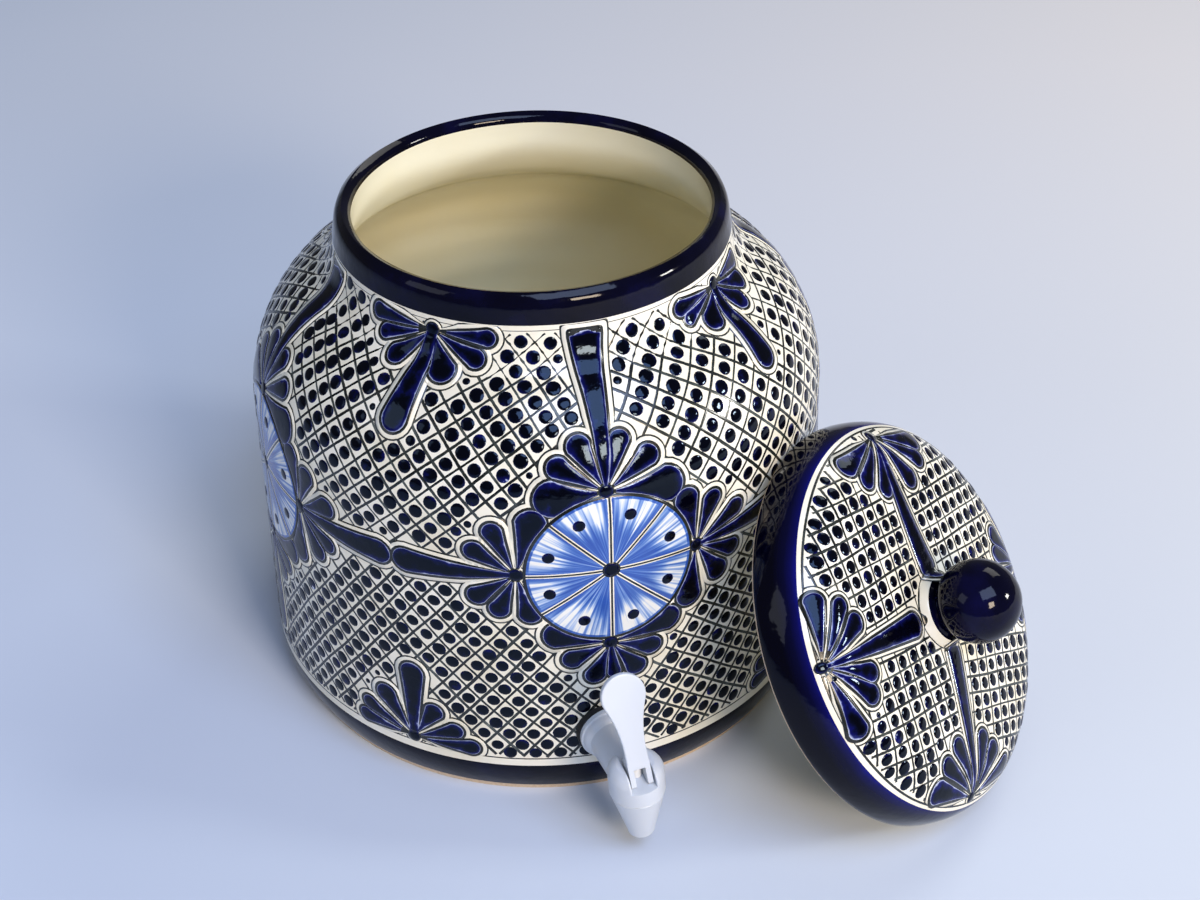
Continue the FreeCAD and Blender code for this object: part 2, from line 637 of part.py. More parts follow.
# The lever: a fork that straddles the stem on its pin, a cam foot, and a round-ended paddle.
lever = new_body("tap_lever")
toe = -dim("lever_toe")
sole = dim("lever_sole")
foot = new_sketch(lever, "YZ_Plane", "fork_profile")
outline(
    foot,
    (dim("lever_heel"), sole),
    (dim("lever_heel"), dim("lever_heel_top")),
    (dim("lever_back_place"), dim("lever_back_top")),
    (toe + dim("lever_front_inset"), dim("lever_front_top")),
    (toe, sole + dim("lever_toe_radius")),
    dim("lever_toe_radius"),
    (toe + dim("lever_toe_radius"), sole),
)
extrude(lever, "Pad", foot, dim("lever_width"), "fork", both_ways=True)

paddle = new_sketch(lever, "XZ_Plane", "paddle_profile")
half_fork = dim("lever_width") * 0.5
half_paddle = dim("paddle_width") * 0.5
paddle_start = dim("paddle_start")
outline(
    paddle,
    (half_fork, paddle_start),
    (half_fork, dim("lever_waist")),
    -dim("paddle_flare_curve"),
    (dim("paddle_flare_half"), dim("paddle_flare_end")),
    half_paddle,
    (0, dim("lever_length")),
    half_paddle,
    (-dim("paddle_flare_half"), dim("paddle_flare_end")),
    -dim("paddle_flare_curve"),
    (-half_fork, dim("lever_waist")),
    (-half_fork, paddle_start),
)
paddle.AttachmentOffset = Placement(Vector(), Rotation(Vector(-1, 0, 0), dim("lever_lean").value))
paddle.setExpression("AttachmentOffset.Rotation.Angle", dim("lever_lean").text)
paddle.setExpression("AttachmentOffset.Base.y", (sole + dim("lever_toe_radius")).text)
paddle.setExpression("AttachmentOffset.Base.z", dim("lever_toe").text)
extrude(lever, "Pad", paddle, dim("paddle_wall"), "paddle", backwards=True)
slot = new_sketch(lever, "YZ_Plane", "slot_profile")
outline(
    slot,
    (dim("lever_heel") + beyond, sole - beyond),
    (dim("lever_heel") + beyond, dim("lever_slot_top")),
    (toe + dim("lever_slot_inset"), dim("lever_slot_top")),
    (toe - beyond * 2, dim("lever_slot_top") - dim("lever_slot_fall")),
    (toe - beyond * 2, sole - beyond),
)
extrude(lever, "Pocket", slot, dim("lever_slot"), "fork_slot", both_ways=True)
lever_hole = new_sketch(lever, "YZ_Plane", "lever_hole_profile")
circle(lever_hole, 0, dim("pivot_height"), dim("pin_radius"))
extrude(lever, "Pocket", lever_hole, dim("lever_width") * 2, "lever_hole", both_ways=True)


def on_paddle_rim(edge):
    """The edges round the paddle: its round end and its hollow flanks."""
    return is_arc(edge, half_paddle) or is_arc(edge, dim("paddle_flare_curve"))


round_edges(lever, doc.getObject("lever_hole"), dim("paddle_rounding"), on_paddle_rim, "paddle_rim")

# Lever pin, pressed into the fork's cheeks.
pin = new_body("lever_pin")
pin_circle = new_sketch(pin, "YZ_Plane", "pin_profile")
circle(pin_circle, 0, dim("pivot_height"), dim("pin_radius"))
extrude(pin, "Pad", pin_circle, dim("lever_width") - dim("pin_inset"), "pin_rod", both_ways=True)

# Back nut: hexagonal, with a round collar towards the wall.
nut = new_body("shank_nut")
nut_sketch = new_sketch(nut, "XZ_Plane", "nut_profile")
half_flat = dim("nut_width") * 0.5
# Across its corners a hexagon measures two over the root of three times its width over flats.
half_corner = dim("nut_width") * 0.57735
outline(
    nut_sketch,
    (half_flat, half_corner * -0.5),
    (half_flat, half_corner * 0.5),
    (0, half_corner),
    (-half_flat, half_corner * 0.5),
    (-half_flat, half_corner * -0.5),
    (0, -half_corner),
)
shift(nut_sketch, -(wall_face + dim("nut_face")))
extrude(nut, "Pad", nut_sketch, dim("nut_wall"), "nut_hexagon", backwards=True)
nut_thread = new_sketch(nut, "XZ_Plane", "nut_thread_profile")
circle(nut_thread, 0, 0, dim("shank_radius") + dim("thread_play"))
shift(nut_thread, -(wall_face + dim("nut_face")))
extrude(nut, "Pocket", nut_thread, dim("nut_wall") * 4, "nut_thread", both_ways=True)

# ---------------------------------------------------------------- where the groups stand
out_angle = dim("tap_azimuth").value
tap_turn = Rotation(Vector(0, 0, 1), out_angle + dim("tap_yaw").value)
tap_turn = tap_turn * Rotation(Vector(0, 1, 0), -dim("tap_roll").value)
wall_point = Rotation(Vector(0, 0, 1), out_angle).multVec(
    Vector(0, -dim("tap_surface").value, 0)
)
wall_point.z = dim("tap_height").value
valve_point = wall_point + tap_turn.multVec(Vector(0, -dim("tap_reach").value, 0))
tap_place = Placement(valve_point, tap_turn)

lid_axis = Vector(1, 0, 0)
lid_axis = Rotation(Vector(0, 1, 0), -dim("lid_lean").value).multVec(lid_axis)
lid_axis = Rotation(Vector(0, 0, 1), -dim("lid_turn").value).multVec(lid_axis)
lid_rotation = Rotation(Vector(0, 0, 1), lid_axis)
lid_rise = (1 - lid_axis.z * lid_axis.z) ** 0.5
lid_height = dim("lid_seat_radius").value * lid_rise
lid.Placement = Placement(
    Vector(dim("lid_place_right").value, -dim("lid_place_front").value, lid_height),
    lid_rotation,
)
for piece in (tap_body, bonnet, stem, plug, stem_ring, spring, lever, pin, nut):
    piece.Placement = tap_place


# ---------------------------------------------------------------- cuts across the wall
def shank_cylinder(name, radius, start, end):
    """A cylinder on the shank's axis, between two distances inside the wall's outer face."""
    rod = doc.addObject("Part::Cylinder", name)
    rod.setExpression("Radius", as_size(radius).text)
    rod.setExpression("Height", (as_size(end) - as_size(start)).text)
    offset = Vector(0, dim("tap_reach").value + as_size(start).value, 0)
    rod.Placement = tap_place * Placement(offset, Rotation(Vector(0, 0, 1), Vector(0, 1, 0)))
    return rod


def cut(name, base, tool):
    feature = doc.addObject("Part::Cut", name)
    feature.Base = base
    feature.Tool = tool
    feature.Label = name
    return feature


wall = dim("pot_wall")
clear_of_wall = dim("wall_clearance")
pot = cut(
    "pot_body",
    thrown_pot,
    shank_cylinder("wall_hole", dim("shank_hole_radius"), -clear_of_wall, wall + clear_of_wall),
)


def wall_washer(name, radius, start, end):
    """A rubber washer that has taken the wall's curve on one face."""
    ring = cut(
        name + "_ring",
        shank_cylinder(name + "_disc", radius, start, end),
        shank_cylinder(
            name + "_hole", dim("washer_bore_radius"), -clear_of_wall, wall + clear_of_wall
        ),
    )
    return cut(name, ring, thrown_pot)


outer_washer = wall_washer(
    "outer_washer", dim("washer_outer_radius"), -dim("flange_gap"), wall * 0.5
)
inner_washer = wall_washer(
    "inner_washer", dim("washer_inner_radius"), wall * 0.5, dim("nut_face")
)

doc.recompute()

# ---------------------------------------------------------------- check and write
pieces = [
    pot,
    lid,
    tap_body,
    bonnet,
    stem,
    stem_ring,
    plug,
    spring,
    lever,
    pin,
    nut,
    outer_washer,
    inner_washer,
]
for item in doc.Objects:
    if "Invalid" in item.State or "Error" in item.State:
        raise RuntimeError(f"{item.Label} failed: {item.State}")
for piece in pieces:
    if piece.Shape.isNull() or not piece.Shape.isValid():
        raise RuntimeError(f"{piece.Label} has no valid shape")

os.makedirs("parts", exist_ok=True)
for piece in pieces:
    piece.Shape.exportStep(f"parts/{piece.Label}.step")
    print(f"{piece.Label}: {len(piece.Shape.Solids)} solid, {piece.Shape.Volume / 1000:.2f} cm3")
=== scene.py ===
import math
import random
from bisect import bisect_left

import bmesh
import bpy
import numpy
from mathutils import Matrix, Vector


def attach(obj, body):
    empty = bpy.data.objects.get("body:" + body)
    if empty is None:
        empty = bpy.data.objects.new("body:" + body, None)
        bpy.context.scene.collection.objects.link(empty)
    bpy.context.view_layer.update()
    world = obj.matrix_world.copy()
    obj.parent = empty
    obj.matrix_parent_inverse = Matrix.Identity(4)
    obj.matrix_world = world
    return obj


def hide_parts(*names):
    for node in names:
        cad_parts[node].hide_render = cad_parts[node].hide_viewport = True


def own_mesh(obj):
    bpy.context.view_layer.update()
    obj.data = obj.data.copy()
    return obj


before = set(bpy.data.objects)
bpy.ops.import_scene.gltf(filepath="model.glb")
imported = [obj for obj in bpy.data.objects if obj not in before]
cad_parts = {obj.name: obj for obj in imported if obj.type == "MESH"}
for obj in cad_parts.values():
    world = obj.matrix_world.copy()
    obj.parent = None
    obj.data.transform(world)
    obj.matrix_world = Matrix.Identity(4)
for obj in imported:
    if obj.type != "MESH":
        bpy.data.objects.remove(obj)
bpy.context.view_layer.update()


# ---------------------------------------------------------------- camera
# A standing view down over the rim: the tap points at the viewer, and the lid leans on the right.
# The lens is a little longer than a normal one.
MM = 0.001
eye = Vector((0.0, -756.7, 660.1)) * MM
pan = 0.0407
tilt = 0.6331
roll = -0.0136
ahead = Vector(
    (math.sin(pan) * math.cos(tilt), math.cos(pan) * math.cos(tilt), -math.sin(tilt))
)
level = Vector((math.cos(pan), -math.sin(pan), 0))
upright = level.cross(ahead)
right = level * math.cos(roll) + upright * math.sin(roll)
up = upright * math.cos(roll) - level * math.sin(roll)
camera = bpy.data.objects.new("camera", bpy.data.cameras.new("camera"))
camera.data.sensor_width = 36.0
camera.data.lens = 54.0
camera.matrix_world = Matrix.Translation(eye) @ Matrix((right, up, -ahead)).transposed().to_4x4()
bpy.context.scene.collection.objects.link(camera)
bpy.context.scene.camera = camera
bpy.context.scene.view_settings.view_transform = "Standard"


# ---------------------------------------------------------------- pot
# The pot is thrown in one piece from buff stoneware clay: broad foot, round shoulder, short collar
# and a rolled rim. It is tin-glazed cream outside and honey inside, and the foot is left bare.
def colour(code):
    """The linear colour of an sRGB hex code."""
    parts = [int(code[i : i + 2], 16) / 255 for i in (1, 3, 5)]
    linear = [c / 12.92 if c <= 0.04045 else ((c + 0.055) / 1.055) ** 2.4 for c in parts]
    return (*linear, 1.0)


def add(tree, kind, inputs=None, stops=None, **settings):
    """Adds a node with its settings, its sockets' values or links, and a ramp's stops."""
    made = tree.nodes.new(kind)
    for name, value in settings.items():
        setattr(made, name, value)
    for socket, value in (inputs or {}).items():
        if isinstance(value, bpy.types.NodeSocket):
            tree.links.new(value, made.inputs[socket])
        else:
            made.inputs[socket].default_value = value
    for i, (place, code) in enumerate(stops or []):
        elements = made.color_ramp.elements
        stop = elements[i] if i < 2 else elements.new(place)
        stop.position = place
        stop.color = colour(code)
    return made


def material_of(name, roughness, ior=1.5):
    """A material with its node tree, its shader and the place on the object, in metres."""
    made = bpy.data.materials.new(name)
    made.use_nodes = True
    shader = made.node_tree.nodes["Principled BSDF"]
    shader.inputs["Roughness"].default_value = roughness
    shader.inputs["IOR"].default_value = ior
    place = add(made.node_tree, "ShaderNodeTexCoord").outputs["Object"]
    return made, made.node_tree, shader, place


def per_mm(size):
    """A texture's scale for a pattern of that size in millimetres."""
    return 1 / (size * MM)


# Tin glaze over stoneware: glossy opaque cream, a little thinner and yellower in patches.
tin_glaze, tree, shader, place = material_of("tin_glaze", 0.09, 1.52)
clouds = add(
    tree, "ShaderNodeTexNoise", {"Vector": place, "Scale": per_mm(38), "Detail": 4.0}
)
cream = add(
    tree,
    "ShaderNodeValToRGB",
    {"Fac": clouds.outputs["Fac"]},
    [(0.32, "#E4DDC6"), (0.5, "#EEE9D6"), (0.68, "#F3EFE1")],
)
tree.links.new(cream.outputs["Color"], shader.inputs["Base Color"])
peel = add(tree, "ShaderNodeTexNoise", {"Vector": place, "Scale": per_mm(5), "Detail": 2.0})
relief = add(tree, "ShaderNodeBump", {"Height": peel.outputs["Fac"], "Distance": 0.12 * MM})
tree.links.new(relief.outputs["Normal"], shader.inputs["Normal"])

# Honey glaze inside: the same glaze with random warm patches, painted darker and yellower
# towards the bottom as painted shade deep in the pot.
honey_glaze_painted_shade, tree, shader, place = material_of("honey_glaze_painted_shade", 0.16, 1.5)
clouds = add(
    tree, "ShaderNodeTexNoise", {"Vector": place, "Scale": per_mm(45), "Detail": 5.0}
)
axes = add(tree, "ShaderNodeSeparateXYZ", {"Vector": place})
# Painted shade: the colour rises with height, so the inside darkens towards the bottom.
upwards = add(tree, "ShaderNodeMath", {0: axes.outputs["Z"], 1: 3.2}, operation="MULTIPLY")
thickness_and_painted_light = add(
    tree,
    "ShaderNodeMath",
    {0: clouds.outputs["Fac"], 1: 0.3, 2: upwards.outputs[0]},
    operation="MULTIPLY_ADD",
)
honey = add(
    tree,
    "ShaderNodeValToRGB",
    {"Fac": thickness_and_painted_light.outputs[0]},
    [(0.15, "#E2D3A0"), (0.65, "#EFE6BD"), (0.95, "#F4F1D9")],
)
tree.links.new(honey.outputs["Color"], shader.inputs["Base Color"])
rings = add(
    tree,
    "ShaderNodeTexWave",
    {"Vector": place, "Scale": per_mm(60), "Distortion": 1.5, "Detail": 2.0},
    bands_direction="Z",
)
relief = add(tree, "ShaderNodeBump", {"Height": rings.outputs["Fac"], "Distance": 0.25 * MM})
tree.links.new(relief.outputs["Normal"], shader.inputs["Normal"])

# Cobalt glaze, brushed on thick in bands: nearly black, blue where it thins.
cobalt_band, tree, shader, place = material_of("cobalt_band_glaze", 0.07, 1.52)
pools = add(
    tree, "ShaderNodeTexNoise", {"Vector": place, "Scale": per_mm(26), "Detail": 5.0}
)
cobalt = add(
    tree,
    "ShaderNodeValToRGB",
    {"Fac": pools.outputs["Fac"]},
    [(0.3, "#02020C"), (0.55, "#040418"), (0.8, "#0A0A34")],
)
tree.links.new(cobalt.outputs["Color"], shader.inputs["Base Color"])
shader.inputs["Specular IOR Level"].default_value = 0.16
peel = add(tree, "ShaderNodeTexNoise", {"Vector": place, "Scale": per_mm(7), "Detail": 2.0})
relief = add(tree, "ShaderNodeBump", {"Height": peel.outputs["Fac"], "Distance": 0.16 * MM})
tree.links.new(relief.outputs["Normal"], shader.inputs["Normal"])

# Fired clay, wiped clean of glaze: matt, fine-grained, pale tan.
bare_clay, tree, shader, place = material_of("bare_fired_clay", 0.85, 1.5)
grog = add(
    tree, "ShaderNodeTexNoise", {"Vector": place, "Scale": per_mm(1.2), "Detail": 6.0}
)
tan = add(
    tree,
    "ShaderNodeValToRGB",
    {"Fac": grog.outputs["Fac"]},
    [(0.3, "#CDB190"), (0.6, "#DFC8AA"), (0.8, "#EAD9C0")],
)
tree.links.new(tan.outputs["Color"], shader.inputs["Base Color"])
relief = add(tree, "ShaderNodeBump", {"Height": grog.outputs["Fac"], "Distance": 0.15 * MM})
tree.links.new(relief.outputs["Normal"], shader.inputs["Normal"])


def thrown_line(path, step):
    """Points along a potter's profile, in millimetres, and the run at each of its corners.
    A lone number between two corners bends the line to that radius, bulging to the right, or
    to the left if it is negative."""
    points = [Vector(path[0])]
    corners = [0.0]
    bend = 0.0
    for item in path[1:]:
        if not isinstance(item, tuple):
            bend = item
            continue
        start = points[-1].copy()
        end = Vector(item)
        chord = end - start
        count = max(1, math.ceil(chord.length / step))
        arc = 0.0
        if bend:
            half = chord.length / 2
            side = Vector((chord.y, -chord.x)).normalized() * math.copysign(1, bend)
            centre = (start + end) / 2 - side * math.sqrt(bend * bend - half * half)
            arc = math.copysign(2 * math.asin(half / abs(bend)), bend)
        for k in range(1, count + 1):
            if bend:
                turned = Matrix.Rotation(arc * k / count, 2) @ (start - centre)
                points.append(centre + turned)
            else:
                points.append(start + chord * k / count)
        length = abs(bend * arc) if bend else chord.length
        corners.append(corners[-1] + length)
        bend = 0.0
    return points, corners


PROFILE_STEP = 0.8


class Profile:
    """A thrown form's profile by its run: radius, height and outward normal."""

    def __init__(self, path, zero):
        points, corners = thrown_line(path, PROFILE_STEP)
        run = [0.0]
        for a, b in zip(points, points[1:]):
            run.append(run[-1] + (b - a).length)
        self.run = [r - corners[zero] for r in run]
        self.corners = [c - corners[zero] for c in corners]
        self.points = points
        self.normals = []
        for i in range(len(points)):
            way = points[min(i + 1, len(points) - 1)] - points[max(i - 1, 0)]
            self.normals.append(Vector((way.y, -way.x)).normalized())

    def at(self, run):
        """The point and the outward normal there."""
        i = min(max(bisect_left(self.run, run), 1), len(self.run) - 1)
        t = min((run - self.run[i - 1]) / (self.run[i] - self.run[i - 1]), 1)
        return (
            self.points[i - 1].lerp(self.points[i], t),
            self.normals[i - 1].lerp(self.normals[i], t),
        )


# Millimetres: radius and height, from the middle of the foot, out, up and in again.
POT_WALL = 9.0
POT_PATH = [
    (0, 0),
    (137.6, 0),
    50,
    (145, 21),
    (140.8, 163.5),
    73,
    (105.6, 221.7),
    -28,
    (95.2, 241.8),
    (93.6, 250.8),
    6,
    (89.3, 255.8),
    5,
    (85.2, 252.3),
    (85.6, 239.8),
    28 + POT_WALL,
    (105.6 - POT_WALL * 0.51, 221.7 - POT_WALL * 0.86),
    -(73 - POT_WALL),
    (140.8 - POT_WALL, 163.5),
    (145 - POT_WALL, 27),
    -24,
    (145 - POT_WALL - 20, 12),
    (0, 12),
]
# The painting's coats lie in a bed that is this deep and fades out at the foot and the lip.
GLAZE_BED = 0.35
BED_FADE = 5.0
# Runs up the outside from the foot's edge, where one glaze ends or the painted field begins.
BARE_TOP = 4.6
BAND_TOP = 24.0
FIELD_LOW = 28.6
FIELD_HIGH = 257.0
COLLAR_FOOT = 259.2


class PotSkin:
    """The pot's glazed outside as a chart: degrees from the front to the right, and
    millimetres up along the profile from the foot's edge."""

    def __init__(self):
        self.profile = Profile(POT_PATH, 1)
        self.lip = self.profile.corners[7]

    def unit(self, v):
        """Millimetres in one degree at that height."""
        return math.radians(self.profile.at(v)[0].x)

    def kept(self, u, v):
        """The place, or the nearest one inside the lines that close the painted field."""
        return u, min(max(v, FIELD_LOW - 0.3), COLLAR_FOOT - 0.4)

    def edge(self, u, v):
        """Millimetres to the nearest of those lines, and the way inwards from it."""
        if v - FIELD_LOW < FIELD_HIGH - v:
            return v - FIELD_LOW, Vector((0, 1))
        return FIELD_HIGH - v, Vector((0, -1))

    def at(self, u, v, height=0.0):
        """A place of the chart in metres, that many millimetres above the painting's bed."""
        point, normal = self.profile.at(v)
        at_foot = min(max(v / BED_FADE, 0), 1)
        at_lip = min(max((self.lip - v) / BED_FADE, 0), 1)
        point = (point + normal * (height - GLAZE_BED * at_foot * at_lip)) * MM
        turn = math.radians(u)
        return Vector((point.x * math.sin(turn), -point.x * math.cos(turn), point.y))


pot_skin = PotSkin()
# The lip's top is corner 7 of the path, and the honey glaze begins a little past corner 8.
LIP_INSIDE = pot_skin.profile.corners[8] + 1.4


def wander(seed, degrees, amount):
    """The wobble of a line that a brush drew on the turning pot."""
    turn = math.radians(degrees)
    waves = ((2, 0.5), (5, 0.3), (9, 0.2))
    return amount * sum(part * math.sin(k * turn + seed * k) for k, part in waves)


# Millimetres that a brush strays from a band's edge, and within which points are joined.
BRUSH_WOBBLE = 0.3
WELD = 0.002


def spun_piece(name, place_at, stops, zones, finishes, around):
    """A closed skin turned round its axis. Each stop is a run along the profile, and each
    painted zone, a run and a finish's number, starts at a stop that a brush has wobbled."""
    edges = {start for start, _ in zones[1:]}
    verts = []
    faces = []
    numbers = []
    runs = []
    for row, run in enumerate(stops):
        runs += [run] * around
        wobble = BRUSH_WOBBLE if run in edges else 0.0
        for i in range(around):
            degrees = 360 * i / around
            verts.append(place_at(degrees, run + wander(run, degrees, wobble)))
        if row == 0:
            continue
        zone = [number for start, number in zones if start <= stops[row - 1]][-1]
        for i in range(around):
            j = (i + 1) % around
            low = (row - 1) * around
            faces.append((low + i, low + j, low + around + j, low + around + i))
            numbers.append(zone)
    mesh = bpy.data.meshes.new(name)
    mesh.from_pydata(verts, [], faces)
    mesh.attributes.new("run_mm", "FLOAT", "POINT").data.foreach_set("value", runs)
    mesh.polygons.foreach_set("material_index", numbers)
    mesh.polygons.foreach_set("use_smooth", [True] * len(faces))
    for finish in finishes:
        mesh.materials.append(finish)
    shape = bmesh.new()
    shape.from_mesh(mesh)
    bmesh.ops.remove_doubles(shape, verts=shape.verts, dist=WELD * MM)
    bmesh.ops.recalc_face_normals(shape, faces=shape.faces)
    shape.to_mesh(mesh)
    shape.free()
    mesh.set_sharp_from_angle(angle=math.radians(38))
    piece = bpy.data.objects.new(name, mesh)
    bpy.context.scene.collection.objects.link(piece)
    return piece


def stops_between(marks, step):
    """Runs from the first mark to the last, no further apart than the step."""
    stops = []
    for a, b in zip(marks, marks[1:]):
        count = max(1, math.ceil((b - a) / step))
        stops += [a + (b - a) * k / count for k in range(count)]
    return stops + [marks[-1]]


profile = pot_skin.profile
ROW_STEP = 4.0
AROUND_POT = 240
CLOSER_ROWS = {1.2, 263.0, 272.0, 278.0}
glaze_ends = {BARE_TOP, BAND_TOP, COLLAR_FOOT, LIP_INSIDE}
pot_marks = sorted(set(profile.corners) | glaze_ends | CLOSER_ROWS)
pot_shell = spun_piece(
    "pot_shell",
    pot_skin.at,
    stops_between(pot_marks, ROW_STEP),
    [(profile.corners[0], 0), (BARE_TOP, 1), (BAND_TOP, 2), (COLLAR_FOOT, 1), (LIP_INSIDE, 3)],
    [bare_clay, cobalt_band, tin_glaze, honey_glaze_painted_shade],
    AROUND_POT,
)

# The shank's hole is drilled through the wall where the tap goes. That place is degrees round
# the pot and millimetres up, and the tap is skewed from the pot's radius by a few degrees.
TAP_PLACE = 10.8
TAP_HEIGHT = 43.4
TAP_SKEW = 5.9
TAP_TURN = math.radians(TAP_PLACE + TAP_SKEW)
SHANK_HOLE = 8.4
DRILL_LENGTH = 60.0
shank_way = Vector((-math.sin(TAP_TURN), math.cos(TAP_TURN), 0))
wall_point = pot_skin.at(TAP_PLACE, TAP_HEIGHT)
wall_point.z = TAP_HEIGHT * MM
drill_mesh = bpy.data.meshes.new("drill")
shape = bmesh.new()
bmesh.ops.create_cone(
    shape,
    cap_ends=True,
    segments=48,
    radius1=SHANK_HOLE * MM,
    radius2=SHANK_HOLE * MM,
    depth=DRILL_LENGTH * MM,
)
shape.to_mesh(drill_mesh)
shape.free()
drill = bpy.data.objects.new("drill", drill_mesh)
drill.rotation_mode = "QUATERNION"
drill.rotation_quaternion = shank_way.to_track_quat("Z", "Y")
drill.location = wall_point
bpy.context.scene.collection.objects.link(drill)
bore = pot_shell.modifiers.new("shank_hole", "BOOLEAN")
bore.operation = "DIFFERENCE"
bore.solver = "EXACT"
bore.object = drill
bpy.context.view_layer.update()
drilled = bpy.data.meshes.new_from_object(
    pot_shell.evaluated_get(bpy.context.evaluated_depsgraph_get())
)
pot_shell.modifiers.clear()
pot_shell.data = drilled
bpy.data.objects.remove(drill)
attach(pot_shell, "root")
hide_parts("pot_body")


# ---------------------------------------------------------------- flowers and medallions
# The flowers are painted by hand in thick cobalt enamel: each petal stands proud in its own fine
# line, a cream border follows it, and a scalloped line closes the flower.

# Thick cobalt enamel: black-blue in the middle, bright blue and then white where it runs thin.
cobalt_enamel, tree, shader, place = material_of("cobalt_enamel", 0.06, 1.53)
edge = add(tree, "ShaderNodeAttribute", attribute_name="edge_mm")
patchy = add(tree, "ShaderNodeTexNoise", {"Vector": place, "Scale": per_mm(6), "Detail": 3.0})
uneven = add(
    tree,
    "ShaderNodeMath",
    {0: patchy.outputs["Fac"], 1: 3.2, 2: -1.6},
    operation="MULTIPLY_ADD",
)
# The halo at the very edge is even, and the blue inside it is patchy.
inside = add(
    tree, "ShaderNodeMath", {0: edge.outputs["Fac"], 1: uneven.outputs[0]}, operation="MULTIPLY"
)
depth = add(
    tree, "ShaderNodeMath", {0: edge.outputs["Fac"], 1: inside.outputs[0]}, operation="ADD"
)
# The ramp runs over 4 mm from the petal's edge.
depth = add(tree, "ShaderNodeMath", {0: depth.outputs[0], 1: 4.0}, operation="DIVIDE")
enamel = add(
    tree,
    "ShaderNodeValToRGB",
    {"Fac": depth.outputs[0]},
    [
        (0.0, "#D6DAE6"),
        (0.06, "#7F89B4"),
        (0.1, "#0E1158"),
        (0.25, "#090B40"),
        (0.5, "#04061C"),
        (0.8, "#02020A"),
    ],
)
tree.links.new(enamel.outputs["Color"], shader.inputs["Base Color"])
# Cobalt under the gloss tints what the enamel reflects.
shader.inputs["Specular IOR Level"].default_value = 0.22
shader.inputs["Specular Tint"].default_value = colour("#BFDDFF")
relief = add(tree, "ShaderNodeBump", {"Height": patchy.outputs["Fac"], "Distance": 0.2 * MM})
tree.links.new(relief.outputs["Normal"], shader.inputs["Normal"])

# Manganese line, drawn with a fine slip trailer: charcoal, greyer where it ran dry.
manganese_line, tree, shader, place = material_of("manganese_line", 0.22, 1.5)
ink = add(tree, "ShaderNodeAttribute", attribute_name="edge_mm")
dry = add(tree, "ShaderNodeTexNoise", {"Vector": place, "Scale": per_mm(9), "Detail": 5.0})
tone = add(
    tree,
    "ShaderNodeMath",
    {0: dry.outputs["Fac"], 1: 0.9, 2: ink.outputs["Fac"]},
    operation="MULTIPLY_ADD",
)
charcoal = add(
    tree,
    "ShaderNodeValToRGB",
    {"Fac": tone.outputs[0]},
    [(0.35, "#101312"), (0.6, "#232826"), (0.85, "#4C534F"), (1.0, "#757C76")],
)
tree.links.new(charcoal.outputs["Color"], shader.inputs["Base Color"])

# Blue wash on the medallion's disc: thinned cobalt, brushed out from the middle in streaks.
blue_wash, tree, shader, place = material_of("blue_wash", 0.08, 1.52)
reach = add(tree, "ShaderNodeAttribute", attribute_name="edge_mm")
ray = add(tree, "ShaderNodeAttribute", attribute_name="ray")
streaks = add(
    tree, "ShaderNodeTexNoise", {"Vector": ray.outputs["Vector"], "Scale": 19.0, "Detail": 1.5}
)
wash = add(
    tree,
    "ShaderNodeMath",
    {0: streaks.outputs["Fac"], 1: 1.7, 2: reach.outputs["Fac"]},
    operation="MULTIPLY_ADD",
)
washed = add(
    tree,
    "ShaderNodeValToRGB",
    {"Fac": wash.outputs[0]},
    [(0.0, "#2C51A4"), (0.25, "#4068B4"), (0.45, "#6F90C8"), (0.6, "#A9BEDE"), (0.76, "#E8E8E2")],
)
tree.links.new(washed.outputs["Color"], shader.inputs["Base Color"])


# Millimetres above the bed: a coat's sunk edge, and the tops of the lines and borders.
SUNK = -0.1
OUTLINE_TOP = 0.1
BORDER_TOP = 0.19
LINE_TOP = 0.27
LINE_FOOT = 0.02
FINE_WELD = 0.001


